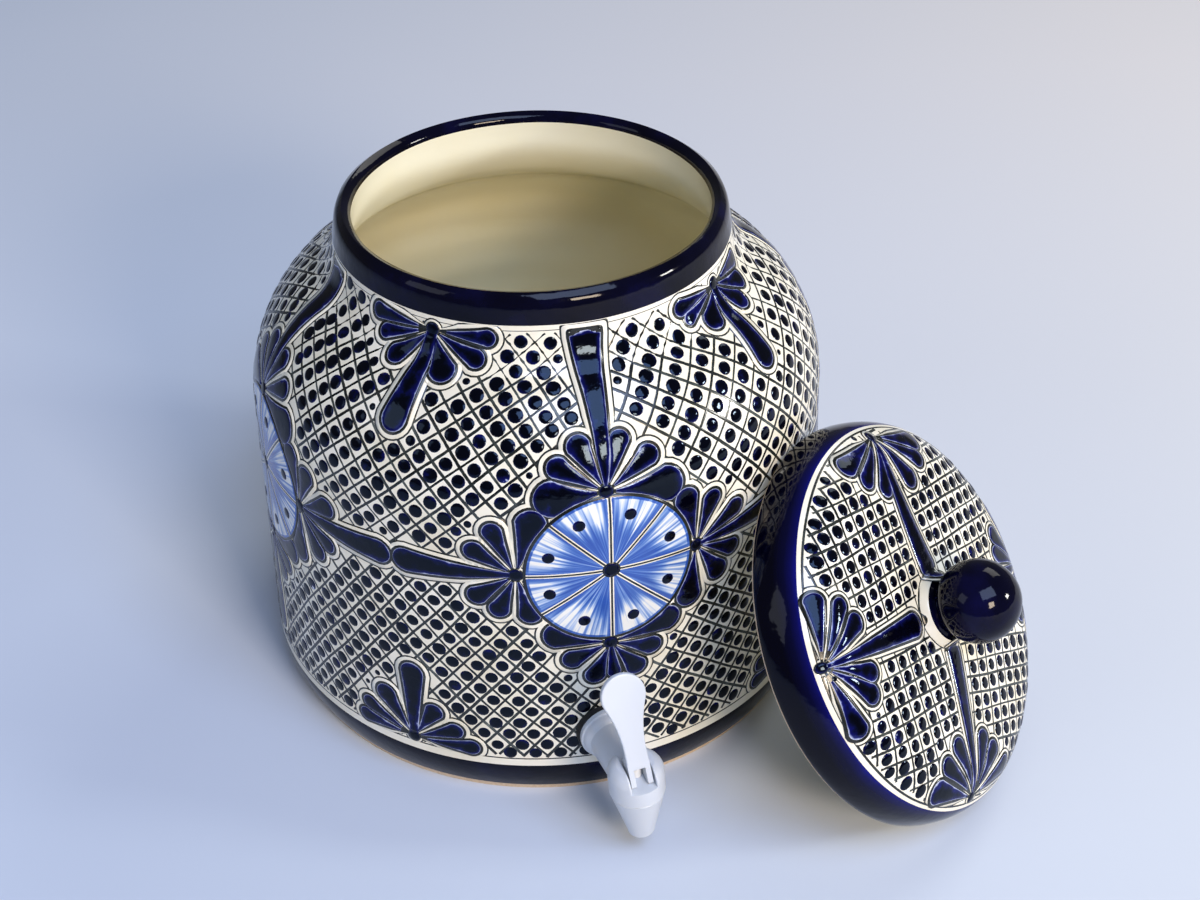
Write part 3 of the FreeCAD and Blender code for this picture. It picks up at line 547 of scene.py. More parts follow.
class Layer:
    """One coat of painting on a skin, gathered quad by quad before it becomes a piece."""

    def __init__(self, skin, framed=False):
        self.skin = skin
        self.framed = framed
        self.points = []
        self.faces = []
        self.marks = []
        self.rays = []

    def kept(self, u, v):
        """A place of this coat, kept inside the painted field if the coat stops there."""
        return self.skin.kept(u, v) if self.framed else (u, v)

    def lay(self, rows):
        """Rows of places on the skin, each with its height and mark, joined row to row."""
        first = len(self.points)
        across = len(rows[0])
        for row in rows:
            for u, v, height, mark, *ray in row:
                self.points.append(self.skin.at(u, v, height))
                self.marks.append(mark)
                self.rays.append(ray[0] if ray else (0, 0, 0))
        for i in range(len(rows) - 1):
            for j in range(across - 1):
                a = first + i * across + j
                self.faces.append((a, a + 1, a + 1 + across, a + across))

    def ridge(self, route, width, height, mark=0.0, bed=0.0):
        """A drawn line, round on top, with its sides let into the coat that it lies on."""
        rows = []
        for k, (u, v) in enumerate(route):
            a = route[max(k - 1, 0)]
            b = route[min(k + 1, len(route) - 1)]
            unit = self.skin.unit(v)
            way = Vector(((b[0] - a[0]) * unit, b[1] - a[1])).normalized()
            side = (-way.y / unit * width / 2, way.x * width / 2)
            rows.append(
                [
                    (u + side[0], v + side[1], bed - LINE_FOOT, mark),
                    (u, v, bed + height, mark),
                    (u - side[0], v - side[1], bed - LINE_FOOT, mark),
                ]
            )
        self.lay(rows)

    def disc(self, u, v, rings, around, squash=1.0, ray=None):
        """Rings about a point, outermost first, each with its radius, height and mark."""
        rows = []
        for radius, height, mark in rings:
            row = []
            for k in range(around + 1):
                turn = 2 * math.pi * (k % around) / around
                y = radius * math.sin(turn) * squash
                x = radius * math.cos(turn)
                place = self.kept(u + x / self.skin.unit(v + y), v + y)
                extra = ray(turn, radius) if ray else (mark,)
                row.append((*place, height, *extra))
            rows.append(row)
        self.lay(rows)

    def drop(self, u, v, radius, crown, foot, squash=1.0, around=16, edge=0.5):
        """A thick drop of enamel, domed from its foot to its crown."""
        rings = [
            (radius, foot - 0.05, edge),
            (radius * 0.86, foot + (crown - foot) * 0.55, edge + 1.0),
            (radius * 0.52, foot + (crown - foot) * 0.9, edge + 2.4),
            (0, crown, edge + 3.0),
        ]
        self.disc(u, v, rings, around, squash)

    def piece(self, name, finish, body, slot):
        """Makes the coat a mesh with its finish, on a body."""
        mesh = bpy.data.meshes.new(name)
        mesh.from_pydata(self.points, [], self.faces)
        mesh.attributes.new("edge_mm", "FLOAT", "POINT").data.foreach_set("value", self.marks)
        if any(any(ray) for ray in self.rays):
            flat = [part for ray in self.rays for part in ray]
            mesh.attributes.new("ray", "FLOAT_VECTOR", "POINT").data.foreach_set("vector", flat)
        mesh.materials.append(finish)
        shape = bmesh.new()
        shape.from_mesh(mesh)
        bmesh.ops.remove_doubles(shape, verts=shape.verts, dist=FINE_WELD * MM)
        bmesh.ops.dissolve_degenerate(shape, edges=shape.edges, dist=FINE_WELD * MM)
        shape.to_mesh(mesh)
        shape.free()
        mesh.polygons.foreach_set("use_smooth", [True] * len(mesh.polygons))
        made = bpy.data.objects.new(name, mesh)
        bpy.context.scene.collection.objects.link(made)
        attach(made, body)


# A petal is drawn by cross-sections: how far apart, how near the dot the first one is, and the
# turns of those round its tip.
STATION_STEP = 3.0
FIRST_STATION = 1.5
TIP_TURNS = (20, 38, 54, 68, 80, 90)
# Half the width at which the enamel begins.
ROOT_HALF = 0.5


class Petal:
    """A brush stroke from a flower's dot to its round end, which is given by its centre."""

    def __init__(self, root, end, radius, root_half=0.15, power=1.4, bow=0.0, clear=None):
        self.root = root
        self.end = end
        self.radius = radius
        self.root_half = root_half
        self.power = power
        self.bow = bow
        self.clear = clear

    def centre(self, skin, t):
        """The middle line's place at that part of the way, bowed sideways if the petal is."""
        u = self.root[0] + (self.end[0] - self.root[0]) * t
        v = self.root[1] + (self.end[1] - self.root[1]) * t
        if self.bow:
            unit = skin.unit(v)
            way = Vector(((self.end[0] - self.root[0]) * unit, self.end[1] - self.root[1]))
            side = way.normalized() * self.bow * 4 * t * (1 - t)
            u -= side.y / unit
            v += side.x
        return u, v

    def half(self, t):
        """Half the petal's width there."""
        return self.root_half * (1 - t) + self.radius * t**self.power

    def stations(self, skin, grow):
        """Cross-sections from root to tip: centre, side, half widths and how far past the
        end's centre, let out by that many millimetres."""
        unit = skin.unit(self.root[1])
        length = math.hypot((self.end[0] - self.root[0]) * unit, self.end[1] - self.root[1])
        count = max(5, round(length / STATION_STEP))
        start = min(FIRST_STATION / length, 0.3)
        rows = []
        for k in range(count + 1):
            t = start + (1 - start) * k / count
            u, v = self.centre(skin, t)
            before = self.centre(skin, t - 0.02)
            way = Vector(((u - before[0]) * skin.unit(v), v - before[1])).normalized()
            # The coats round a petal narrow towards its root, as the petal does.
            out = grow * min(1, 0.06 + (t / 0.5) ** 1.4)
            rows.append((u, v, way, self.half(t) + out, 0.0))
        u, v, way, _, _ = rows[-1]
        reach = self.radius + grow
        for degrees in TIP_TURNS:
            past = reach * math.sin(math.radians(degrees))
            width = reach * math.cos(math.radians(degrees))
            there = v + way.y * past
            rows.append((u + way.x * past / skin.unit(there), there, way, width, past))
        return [self.trimmed(skin, *row) for row in rows]

    def trimmed(self, skin, u, v, way, width, past):
        """Keeps a hugging petal's sides off the disc beside it."""
        widths = [width, width]
        if self.clear:
            (u0, v0), radius = self.clear
            here = Vector(((u - u0) * skin.unit(v), v - v0))
            for i, side in enumerate((Vector((-way.y, way.x)), Vector((way.y, -way.x)))):
                if (here + side * width).length < radius:
                    b = here.dot(side)
                    c = here.length_squared - radius * radius
                    inside = max(b * b - c, 0)
                    widths[i] = min(max(-b - math.sqrt(inside), 0.02), width)
        return u, v, way, widths, past


TRUMPET_ROOT = 0.6
TRUMPET_THROAT = 3.2
# The square end's cross-sections: how far past the end's centre, and how much narrower.
SQUARE_END = ((0.9, 0.0), (1.8, 0.25), (2.4, 0.9), (2.7, 2.2))


class Trumpet(Petal):
    """The stem that flares to the collar and ends square."""

    def half(self, t):
        """Half the stem's width there: slim for the first quarter, and then it flares."""
        throat = (TRUMPET_THROAT - TRUMPET_ROOT) * min(t / 0.25, 1)
        flare = (self.radius - TRUMPET_THROAT) * max((t - 0.25) / 0.75, 0) ** 1.5
        return TRUMPET_ROOT + throat + flare

    def stations(self, skin, grow):
        rows = super().stations(skin, grow)[: -len(TIP_TURNS)]
        u, v, way, (width, _), _ = rows[-1]
        for past, narrower in SQUARE_END:
            there = v + way.y * (past + grow)
            half_width = width - narrower
            reached = self.radius - SQUARE_END[-1][0] + past
            rows.append((u, there, way, [half_width, half_width], reached))
        return rows


def sweep(layer, stations, section, reach):
    """Lays a petal's coat: the section gives offsets from the left edge to the right."""
    rows = []
    for u, v, way, widths, past in stations:
        unit = layer.skin.unit(v)
        row = []
        for x, height, mark in section(widths, past, reach):
            place = layer.kept(u - way.y * x / unit, v + way.x * x)
            row.append((*place, height, mark))
        rows.append(row)
    sunk = [(u, v, SUNK, mark) for u, v, _, mark in rows[0]]
    layer.lay([sunk] + rows)


def plate(height, mark=0.0):
    """A flat coat with a soft edge."""

    def section(widths, past, reach):
        left, right = widths
        soft = 0.12
        inner = [max(left - soft, left * 0.9)] + [left * part for part in (0.66, 0.33, 0.0)]
        outer = [right * part for part in (0.33, 0.66)] + [max(right - soft, right * 0.9)]
        places = [left] + inner + [-x for x in outer] + [-right]
        heights = [SUNK] + [height] * (len(places) - 2) + [SUNK]
        return [(x, h, mark) for x, h in zip(places, heights)]

    return section


# Millimetres: the enamel's height at its edge, how much it rises from there and over what
# distance, and the places of a cross-section's points, in from its edge.
ENAMEL_FOOT = 0.24
ENAMEL_RISE = 0.34
ENAMEL_ROUND = 0.8
PILLOW_STEPS = (0.0, 0.4, 0.8, 1.6, 3.0)


def enamel_height(inwards):
    """How thick the enamel stands that far in from its edge."""
    return ENAMEL_FOOT + ENAMEL_RISE * (1 - math.exp(-inwards / ENAMEL_ROUND))


def pillow(widths, past, reach):
    """A thick coat of enamel that rounds up from its edge."""
    row = []
    for sign, width in ((1, widths[0]), (-1, widths[1])):
        side = []
        for k, step in enumerate(PILLOW_STEPS):
            inwards = min(step, width * k / len(PILLOW_STEPS))
            x = width - inwards
            edge = min(inwards, max(reach - math.hypot(x, past), 0)) if past else inwards
            side.append((sign * x, enamel_height(edge), edge))
        if sign > 0:
            middle = max(reach - past, 0) if past else width
            middle = min(middle, widths[0], widths[1])
            row += side + [(0.0, enamel_height(middle), middle)]
        else:
            row += side[::-1]
    return row


# Millimetres that the fine line and the pot's cream borders reach beyond the enamel, and that
# the scalloped line reaches beyond the border.
LINE_MARGIN = 1.4
PETAL_BORDER = 3.2
OUTLINE_MARGIN = 0.8


class Painting:
    """The coats of one skin, and the ground they cover."""

    def __init__(self, skin):
        self.skin = skin
        self.net_lines = Layer(skin)
        self.net_drops = Layer(skin)
        self.outlines = Layer(skin, True)
        self.borders = Layer(skin, True)
        self.lines = Layer(skin)
        self.petals = Layer(skin)
        self.beads = Layer(skin)
        self.covers = []

    def petal(self, petal, border):
        """Paints one petal: its outline, border and fine line, and then its enamel."""
        skin = self.skin
        outermost = petal.stations(skin, border + OUTLINE_MARGIN)
        sweep(self.outlines, outermost, plate(OUTLINE_TOP, 0.1), 0)
        sweep(self.borders, petal.stations(skin, border), plate(BORDER_TOP), 0)
        sweep(self.lines, petal.stations(skin, LINE_MARGIN), plate(LINE_TOP), 0)
        thick = [row for row in petal.stations(skin, 0.0) if row[4] or min(row[3]) > ROOT_HALF]
        sweep(self.petals, thick, pillow, petal.radius)
        self.covers += [(u, v, max(widths)) for u, v, _, widths, past in outermost if past == 0]

    def bead(self, u, v, radius):
        """A flower's dot: a thick drop of enamel in its own line."""
        coats = (
            (self.outlines, 2.0, OUTLINE_TOP, 0.1),
            (self.borders, 1.3, BORDER_TOP, 0.0),
            (self.lines, 0.45, 0.3, 0.1),
        )
        for layer, margin, top, mark in coats:
            edge = radius + margin
            layer.disc(u, v, [(edge, SUNK, mark), (edge - 0.1, top, mark), (0, top, mark)], 20)
        self.beads.drop(u, v, radius, 0.68, 0.2)
        self.covers.append((u, v, radius + 2.2))

    def flower(self, dot, petals, bead, border=PETAL_BORDER):
        """Paints a flower's petals and then its dot, with the dot's radius."""
        for petal in petals:
            self.petal(petal, border)
        self.bead(*dot, bead)

    def room(self, u, v):
        """Millimetres from a place to the nearest painted ground or the field's edge, and the
        way out of it."""
        table = self.cover_table
        # The pot's chart closes on itself after a full turn.
        across = (u - table[:, 0] + 180) % 360 - 180 if self.skin is pot_skin else u - table[:, 0]
        x = across * self.skin.unit(v)
        y = v - table[:, 1]
        gaps = numpy.hypot(x, y) - table[:, 2]
        nearest = int(gaps.argmin())
        gap = float(gaps[nearest])
        edge_gap, inwards = self.skin.edge(u, v)
        if edge_gap < gap:
            return edge_gap, inwards
        return gap, Vector((x[nearest], y[nearest])).normalized()

    def close(self):
        """Ends the flowers, before the net is drawn round them."""
        self.cover_table = numpy.array(self.covers)

    def pieces(self, start, body, slot):
        """Makes each coat a piece, whose name opens with that word."""
        coats = (
            (self.net_lines, "net_lines", manganese_line),
            (self.net_drops, "net_drops", cobalt_enamel),
            (self.outlines, "scallop_lines", manganese_line),
            (self.borders, "cream_borders", tin_glaze),
            (self.lines, "fine_lines", manganese_line),
            (self.petals, "petals", cobalt_enamel),
            (self.beads, "flower_drops", cobalt_enamel),
        )
        for layer, kind, finish in coats:
            layer.piece(f"{start}_{kind}", finish, body, slot)


# Four medallions stand round the pot, at these degrees and at one run up its side.
MEDALLIONS = (12.08, 103.0, 195.0, 289.0)
MEDALLION_RUN = 140.7
# Radii of the washed disc, of its line, and of the ground that the petals beside it leave free.
DISC = 38.8
DISC_LINE = 40.3
DISC_CLEAR = 40.2
WASH_TOP = 0.42
WASH_RINGS = (35.5, 33, 31, 28, 26, 24, 22, 20, 18, 15, 12, 8, 4, 0)
SPOKES = (90, 48, 0, -44, -90, -146, 180, 134)
SPOKE_FOOT = 3.0
SPOKE_CREAM = 2.1
SPOKE_LINE = 1.2
SECTOR_DOTS = (160, 118, 72, 20.6, -26, -70.5, -115.5, -160)
SECTOR_DOT_REACH = 30.2
# The four flowers round the disc. Places are degrees and millimetres from the disc's middle: a
# flower's dot, and each petal's end with its radius.
TOP_PETALS = [
    (-10.3, 40.8, 8.5),
    (11.1, 38.8, 8.5),
    (-9.1, 54.8, 4.8),
    (8.4, 54.3, 4.9),
    (-4.8, 63.3, 5.2),
    (3.4, 63.8, 4.3),
]
LEFT_PETALS = [
    (-14.5, 28.8, 7.0),
    (-21.5, 24.3, 4.6),
    (-25.0, 13.3, 4.8),
    (-15.1, -21.2, 5.3),
    (-20.8, -18.7, 4.7),
    (-24.7, -11.7, 4.9),
]
RIGHT_PETALS = [
    (15.1, 27.8, 5.8),
    (20.7, 22.6, 4.7),
    (26.2, 11.3, 5.0),
    (15.5, -26.9, 6.3),
    (22.1, -19.4, 5.2),
    (25.5, -10.2, 4.3),
]
BOTTOM_PETALS = [
    (-9.9, -34.7, 7.5),
    (10.7, -36.2, 6.8),
    (-7.5, -49.5, 5.1),
    (7.5, -49.7, 5.0),
    (-3.4, -60.4, 5.0),
    (4.4, -59.7, 5.0),
]
MEDALLION_FLOWERS = (
    ("top", (-0.4, 41.8), TOP_PETALS),
    ("left", (-17.5, 1.0), LEFT_PETALS),
    ("right", (17.1, 0.4), RIGHT_PETALS),
    ("bottom", (-0.4, -42.6), BOTTOM_PETALS),
)
MEDALLION_BEAD = 3.3
# The enamel swells a little past the line that the brush drew.
SWELL = 0.3
# The long petals of neighbours end this many degrees from the middle between two medallions,
# and this many millimetres over the discs' middles.
LINK_GAP = 2.9
LINK_RISE = 0.8
# Runs at which the other long petals end.
TRUMPET_END = 252.6
ABOVE_TAP = 80.0
OVER_FOOT = 42.0
pot_paint = Painting(pot_skin)
discs = Layer(pot_skin)
hand = random.Random(7)


def jitter(amount):
    """A small slip of the hand, either way."""
    return hand.uniform(-amount, amount)


def disc_rays(turn, radius):
    """How pale the wash is at a place on the disc, and the ray that its streaks follow. It is
    strong in the middle, along the spokes and at the rim."""
    degrees = math.degrees(turn)
    gap = min(abs((degrees - spoke + 180) % 360 - 180) for spoke in SPOKES)
    between = min(max(math.radians(gap) * radius - 1.5, 0) / 3.5, 1)
    outer = min(max(radius / DISC - 0.48, 0) / 0.26, 1)
    pale = -0.74 + 0.58 * outer * between
    if radius > DISC - 1.2:
        pale = -0.7
    return pale, (math.cos(turn), math.sin(turn), radius / DISC * 0.06)


def from_middle(middle, degrees, radius):
    """The place on the pot that far from a medallion's middle, in that direction."""
    x = radius * math.cos(math.radians(degrees))
    y = radius * math.sin(math.radians(degrees))
    return middle + x / pot_skin.unit(MEDALLION_RUN + y), MEDALLION_RUN + y


def long_stroke(side, number, middle, root):
    """The longest petal of a medallion's flower."""
    if side == "top":
        return Trumpet(root, (root[0] + 1.0, TRUMPET_END), radius=7.2)
    if side == "left":
        before = MEDALLIONS[number - 1] - (360 if number == 0 else 0)
        end = ((middle + before) / 2 + LINK_GAP, MEDALLION_RUN + LINK_RISE)
        return Petal(root, end, radius=6.5, root_half=1.2, power=1.0)
    if side == "right":
        after = MEDALLIONS[(number + 1) % 4] + (360 if number == 3 else 0)
        end = ((middle + after) / 2 - LINK_GAP, MEDALLION_RUN + LINK_RISE)
        return Petal(root, end, radius=6.5, root_half=1.2, power=1.0)
    if number == 0:
        # The tap leaves room for a short one only.
        end = (middle + 0.2, ABOVE_TAP)
        return Petal(root, end, radius=3.4, root_half=0.8, power=1.0)
    return Petal(root, (root[0], OVER_FOOT), radius=6.0, root_half=1.0, power=1.0)


def paint_disc(middle):
    """Paints a medallion's disc with its edge line, spokes, hub and dots."""
    edge = [(DISC_LINE, SUNK, 0), (DISC_LINE - 0.1, 0.36, 0), (DISC - 0.5, 0.36, 0)]
    pot_paint.lines.disc(middle, MEDALLION_RUN, edge, 96)
    rings = [(DISC, 0.3, 0), (DISC - 0.15, 0.4, 0)]
    rings += [(radius, WASH_TOP, 0) for radius in (DISC - 1.1, DISC - 1.4, *WASH_RINGS)]
    discs.disc(middle, MEDALLION_RUN, rings, 144, ray=disc_rays)
    for spoke in SPOKES:
        reaches = [SPOKE_FOOT + (DISC - SPOKE_FOOT) * k / 12 for k in range(13)]
        route = [from_middle(middle, spoke, reach) for reach in reaches]
        pot_paint.borders.ridge(route, SPOKE_CREAM, 0.08, bed=WASH_TOP + 0.02)
        pot_paint.lines.ridge(route, SPOKE_LINE, 0.17, bed=WASH_TOP + 0.04)
    hub = [(4.3, 0.3, 0.1), (4.2, 0.52, 0.1), (0, 0.52, 0.1)]
    pot_paint.lines.disc(middle, MEDALLION_RUN, hub, 24)
    pot_paint.beads.drop(middle, MEDALLION_RUN, 3.6, 0.9, 0.45)
    for degrees in SECTOR_DOTS:
        pot_paint.beads.drop(*from_middle(middle, degrees, SECTOR_DOT_REACH), 3.0, 0.8, 0.4)
    pot_paint.covers.append((middle, MEDALLION_RUN, DISC_LINE - 0.5))


for number, middle in enumerate(MEDALLIONS):
    loose = 0.0 if number == 0 else 1.0
    clear = ((middle, MEDALLION_RUN), DISC_CLEAR)
    for side, dot, petals in MEDALLION_FLOWERS:
        root = (middle + dot[0], MEDALLION_RUN + dot[1])
        strokes = []
        for du, dv, radius in petals:
            end = (middle + du + loose * jitter(0.5), MEDALLION_RUN + dv + loose * jitter(1.0))
            strokes.append(Petal(root, end, radius + SWELL + loose * jitter(0.3), clear=clear))
        strokes.append(long_stroke(side, number, middle, root))
        pot_paint.flower(root, strokes, MEDALLION_BEAD)
    paint_disc(middle)

# Half flowers hang from the collar and stand on the foot's band, between the medallions. Their
# places are degrees and millimetres from their dot.
TOP_HALF = [
    (-17.8, 0, 3.7),
    (15.3, 0, 3.7),
    (-14, -7.5, 3.3),
    (12.5, -9.5, 4.2),
    (-8.6, -15, 4.5),
    (4.7, -16.5, 6),
]
TOP_HALF_RIGHT = [
    (-15.3, -0.5, 3.7),
    (15.0, -0.5, 3.7),
    (-13.5, -6.7, 2.9),
    (12.5, -9.5, 4.2),
    (-6.2, -12.5, 5.5),
    (6.5, -15, 5),
]
FOOT_HALF = [
    (-11.2, 1.2, 3.9),
    (11.9, 1.2, 4.3),
    (-10, 10.2, 4.2),
    (8.7, 10, 4.4),
    (-5.7, 21.3, 5.6),
    (4.6, 19.3, 4.7),
]
HALF_BEAD = 3.2
HALF_FLOWERS = [
    # dot, petals, the long petal's end, radius and half width at the dot, and the hand's slips
    ((-28.3, 253.0), TOP_HALF, (-2.6, -43, 6.3, 2.8), 0.0),
    ((57.5, 251.5), TOP_HALF_RIGHT, (-0.6, -41, 6.0, 2.6), 0.0),
    ((149.0, 252.5), TOP_HALF, (0.8, -42, 6.1, 2.8), 1.0),
    ((242.0, 252.0), TOP_HALF_RIGHT, (0.5, -42, 6.2, 2.6), 1.0),
    ((-27.5, 32.0), FOOT_HALF, (0.5, 41, 6.2, 2.5), 0.0),
    ((57.0, 32.0), FOOT_HALF, (0.2, 40, 6.0, 2.5), 0.0),
    ((149.0, 32.0), FOOT_HALF, (-0.4, 41, 6.1, 2.5), 1.0),
    ((242.0, 32.0), FOOT_HALF, (0.3, 41, 6.2, 2.5), 1.0),
]
for dot, petals, (du, dv, radius, root_half), loose in HALF_FLOWERS:
    strokes = []
    for u, v, end_radius in petals:
        end = (dot[0] + u + loose * jitter(0.5), dot[1] + v)
        strokes.append(Petal(dot, end, end_radius + SWELL + loose * jitter(0.3)))
    strokes.append(Petal(dot, (dot[0] + du, dot[1] + dv), radius, root_half, power=1.2))
    pot_paint.flower(dot, strokes, HALF_BEAD)
pot_paint.close()


# ---------------------------------------------------------------- lattice
# A net of slip-trailed lines fills the ground between the flowers, with a raised drop of cobalt
# in each mesh. The net is drawn anew between each two medallions, by eye.
MID_FIELD = 141.5
SECTORS = list(zip((MEDALLIONS[-1] - 360, *MEDALLIONS), MEDALLIONS))
UPPER_NETS = [
    # the lines' two slopes and steps, the drops' radius, and where one drop sits
    ((44, -46), (9.9, 8.6), 3.4, (-15.3, 201.1)),
    ((41, -51), (10.6, 10.1), 3.5, (38.5, 204.2)),
    ((43, -45), (9.4, 9.2), 3.5, (149.0, 170.0)),
    ((44, -43), (9.6, 9.3), 3.5, (242.0, 170.0)),
]
LOWER_NETS = [
    ((52, -47), (9.2, 9.2), 3.4, (-16.2, 107.4)),
    ((52, -40), (9.3, 9.3), 3.4, (29.3, 79.3)),
    ((48, -46), (9.3, 9.2), 3.4, (149.0, 120.0)),
    ((50, -44), (9.2, 9.3), 3.4, (242.0, 120.0)),
]
NET_STEP = 2.2
NET_LINE_TOP = 0.1
# A line runs this far under a flower's edge, and a drop moves aside by up to this much.
UNDER_FLOWER = 2.4
MOVE_ASIDE = 1.8
SMALLEST_DROP = 0.42


def net(painting, slopes, steps, line_width, drop_radius, inside, place, span):
    """Draws one net in a flat plane of millimetres about a drop's place, and puts it on the
    skin where it is inside the net's ground and clear of the flowers."""
    ways = [Vector((math.cos(math.radians(a)), math.sin(math.radians(a)))) for a in slopes]
    sides = [Vector((-way.y, way.x)) for way in ways]
    count = int(span / min(steps)) + 1
    for family in (0, 1):
        way, side = ways[family], sides[family]
        for k in range(-count, count + 1):
            phase = hand.uniform(0, 6.28)
            offset = (k + 0.5) * steps[family] + jitter(0.35)
            mark = (0.04, 0.16)[family] + jitter(0.12)
            width = line_width + jitter(0.3)
            runs = [[]]
            for j in range(int(-span / NET_STEP), int(span / NET_STEP) + 1):
                along = j * NET_STEP
                drift = 0.35 * math.sin(along / 19 + phase) + 0.18 * math.sin(along / 7 + phase)
                spot = side * (offset + drift) + way * along
                u, v = place(spot)
                if inside(u, v) and painting.room(u, v)[0] > -UNDER_FLOWER:
                    runs[-1].append((u, v))
                else:
                    runs.append([])
            for run in runs:
                if len(run) > 1:
                    painting.net_lines.ridge(run, width, NET_LINE_TOP, mark)
    first = ways[1] / sides[0].dot(ways[1]) * steps[0]
    second = ways[0] / sides[1].dot(ways[0]) * steps[1]
    for i in range(-2 * count, 2 * count + 1):
        for j in range(-2 * count, 2 * count + 1):
            spot = first * i + second * j
            if spot.length > span:
                continue
            spot += Vector((jitter(0.35), jitter(0.35)))
            u, v = place(spot)
            if not inside(u, v):
                continue
            gap, way = painting.room(u, v)
            shift = min(max(drop_radius + 0.5 - gap, 0), MOVE_ASIDE)
            u += way.x * shift / painting.skin.unit(v)
            v += way.y * shift
            radius = min(drop_radius + jitter(0.25), gap + shift - 0.4)
            if radius > drop_radius * SMALLEST_DROP and inside(u, v):
                painting.net_drops.drop(u, v, radius, 0.34, 0.0, 1 + jitter(0.06), 14, 1.2)


POT_SPAN = 190
NET_TOP = 275
NET_MARGIN = 0.8
UPPER_LINE = 1.4
LOWER_LINE = 1.65
HALVES = (
    (MID_FIELD, FIELD_HIGH, UPPER_LINE, UPPER_NETS),
    (FIELD_LOW, MID_FIELD, LOWER_LINE, LOWER_NETS),
)
for low_v, high_v, line_width, nets in HALVES:
    for (low_u, high_u), (slopes, steps, drop_radius, drop_place) in zip(SECTORS, nets):
        half_turn = (low_u + high_u) / 2

        def on_pot(spot):
            v = min(max(drop_place[1] + spot.y, 0), NET_TOP)
            x = (drop_place[0] - half_turn) * pot_skin.unit(drop_place[1]) + spot.x
            return half_turn + x / pot_skin.unit(v), v

        def in_ground(u, v):
            return low_u <= u <= high_u and low_v + NET_MARGIN <= v <= high_v - NET_MARGIN

        net(pot_paint, slopes, steps, line_width, drop_radius, in_ground, on_pot, POT_SPAN)

# A line closes the painted field at the bottom and at the top.
CLOSING_LINE = 0.9
CLOSING_LINE_TOP = 0.12
for run in (FIELD_LOW, FIELD_HIGH):
    turns = [1.5 * k for k in range(241)]
    route = [(degrees, run + wander(run, degrees, 0.35)) for degrees in turns]
    pot_paint.lines.ridge(route, CLOSING_LINE, CLOSING_LINE_TOP, 0.1)

pot_paint.pieces("pot", "root", "pot_glaze")
discs.piece("pot_medallion_discs", blue_wash, "root", "pot_glaze")


# ---------------------------------------------------------------- lid
# The lid is thrown upside down and turned: a low dome with a rolled cobalt edge, a flange that
# sits in the mouth, and a ball knob. It leans against the pot's right side.
LID_PATH = [
    (0, 27.6),
    (66, 26.6),
    -14,
    (80, 13.7),
    (77.5, 0),
    (77.5, -8),
    (81.7, -8),
    (82.5, 0),
    (96.4, 0),
    (97.2, 1.2),
    (97.3, 4.8),
    30,
    (92.9, 21.7),
    32,
    (75, 31.8),
    380,
    (18.2, 34.8),
    (17, 37.4),
    1.6,
    (14.2, 38.2),
    (13.4, 38.8),
    (13.4, 39.9),
    20.2,
    (20.2, 55),
    20.2,
    (0, 75.2),
]
LID_SEAT = 96.4
# The painted field's inner and outer radius.
LID_FIELD = (18.7, 90.7)
# The painting's bed fades in over this run from the lid's edge.
LID_BED_FADE = 4.0
lid_lean = math.radians(34.95)
lid_turn = math.radians(31.5)
lid_axis = Vector(
    (
        math.cos(lid_lean) * math.cos(lid_turn),
        -math.cos(lid_lean) * math.sin(lid_turn),
        math.sin(lid_lean),
    )
)
lid_place = Vector((160.6, -113.6, LID_SEAT * math.cos(lid_lean))) * MM
level_way = Vector((math.sin(lid_turn), math.cos(lid_turn), 0))
lid_up = lid_axis.cross(level_way)
if lid_up.z < 0:
    lid_up = -lid_up
lid_right = lid_up.cross(lid_axis)


class LidSkin:
    """The lid's painted top as a flat chart of millimetres about its axis."""

    def __init__(self):
        self.profile = Profile(LID_PATH, 9)
        top = [
            (point.x, point.y, normal)
            for run, point, normal in zip(
                self.profile.run, self.profile.points, self.profile.normals
            )
            if self.profile.corners[10] - 3 < run < self.profile.corners[13]
        ]
        self.top = sorted(top, key=lambda row: row[0])
        self.radii = [row[0] for row in self.top]

    def unit(self, v):
        """Millimetres in one unit of the chart, which is flat."""
        return 1.0

    def kept(self, u, v):
        """The place, or the nearest one inside the line that closes the painted field."""
        inwards = min(LID_FIELD[1] / max(math.hypot(u, v), 1), 1)
        return u * inwards, v * inwards

    def edge(self, u, v):
        """Millimetres to that line, and the way inwards from it."""
        return LID_FIELD[1] - math.hypot(u, v), -Vector((u, v)).normalized()

    def at(self, u, v, height=0.0):
        """A place of the chart in metres, that many millimetres above the painting's bed."""
        radius = max(math.hypot(u, v), 0.001)
        i = min(max(bisect_left(self.radii, radius), 1), len(self.radii) - 1)
        low, high = self.top[i - 1], self.top[i]
        t = (radius - low[0]) / (high[0] - low[0])
        normal = low[2].lerp(high[2], t)
        lifted = height - GLAZE_BED
        out = radius + normal.x * lifted
        rise = low[1] + (high[1] - low[1]) * t + normal.y * lifted
        flat = lid_right * (u / radius) + lid_up * (v / radius)
        return lid_place + (flat * out + lid_axis * rise) * MM

    def turned(self, degrees, run):
        """A place on the whole profile, for the lid's shell."""
        point, normal = self.profile.at(run)
        covered = min(max((run - self.profile.corners[9]) / LID_BED_FADE, 0), 1)
        point = point - normal * GLAZE_BED * covered
        turn = math.radians(degrees)
        flat = lid_right * math.cos(turn) + lid_up * math.sin(turn)
        return lid_place + (flat * point.x + lid_axis * point.y) * MM


lid_skin = LidSkin()
# The seat ends at corner 8 of the path, the rolled edge at 10, and the painted top at 13, where
# the knob's foot begins.
corners = lid_skin.profile.corners
LID_BORDER = corners[10] + 0.4
KNOB_FOOT = corners[13] + 0.3
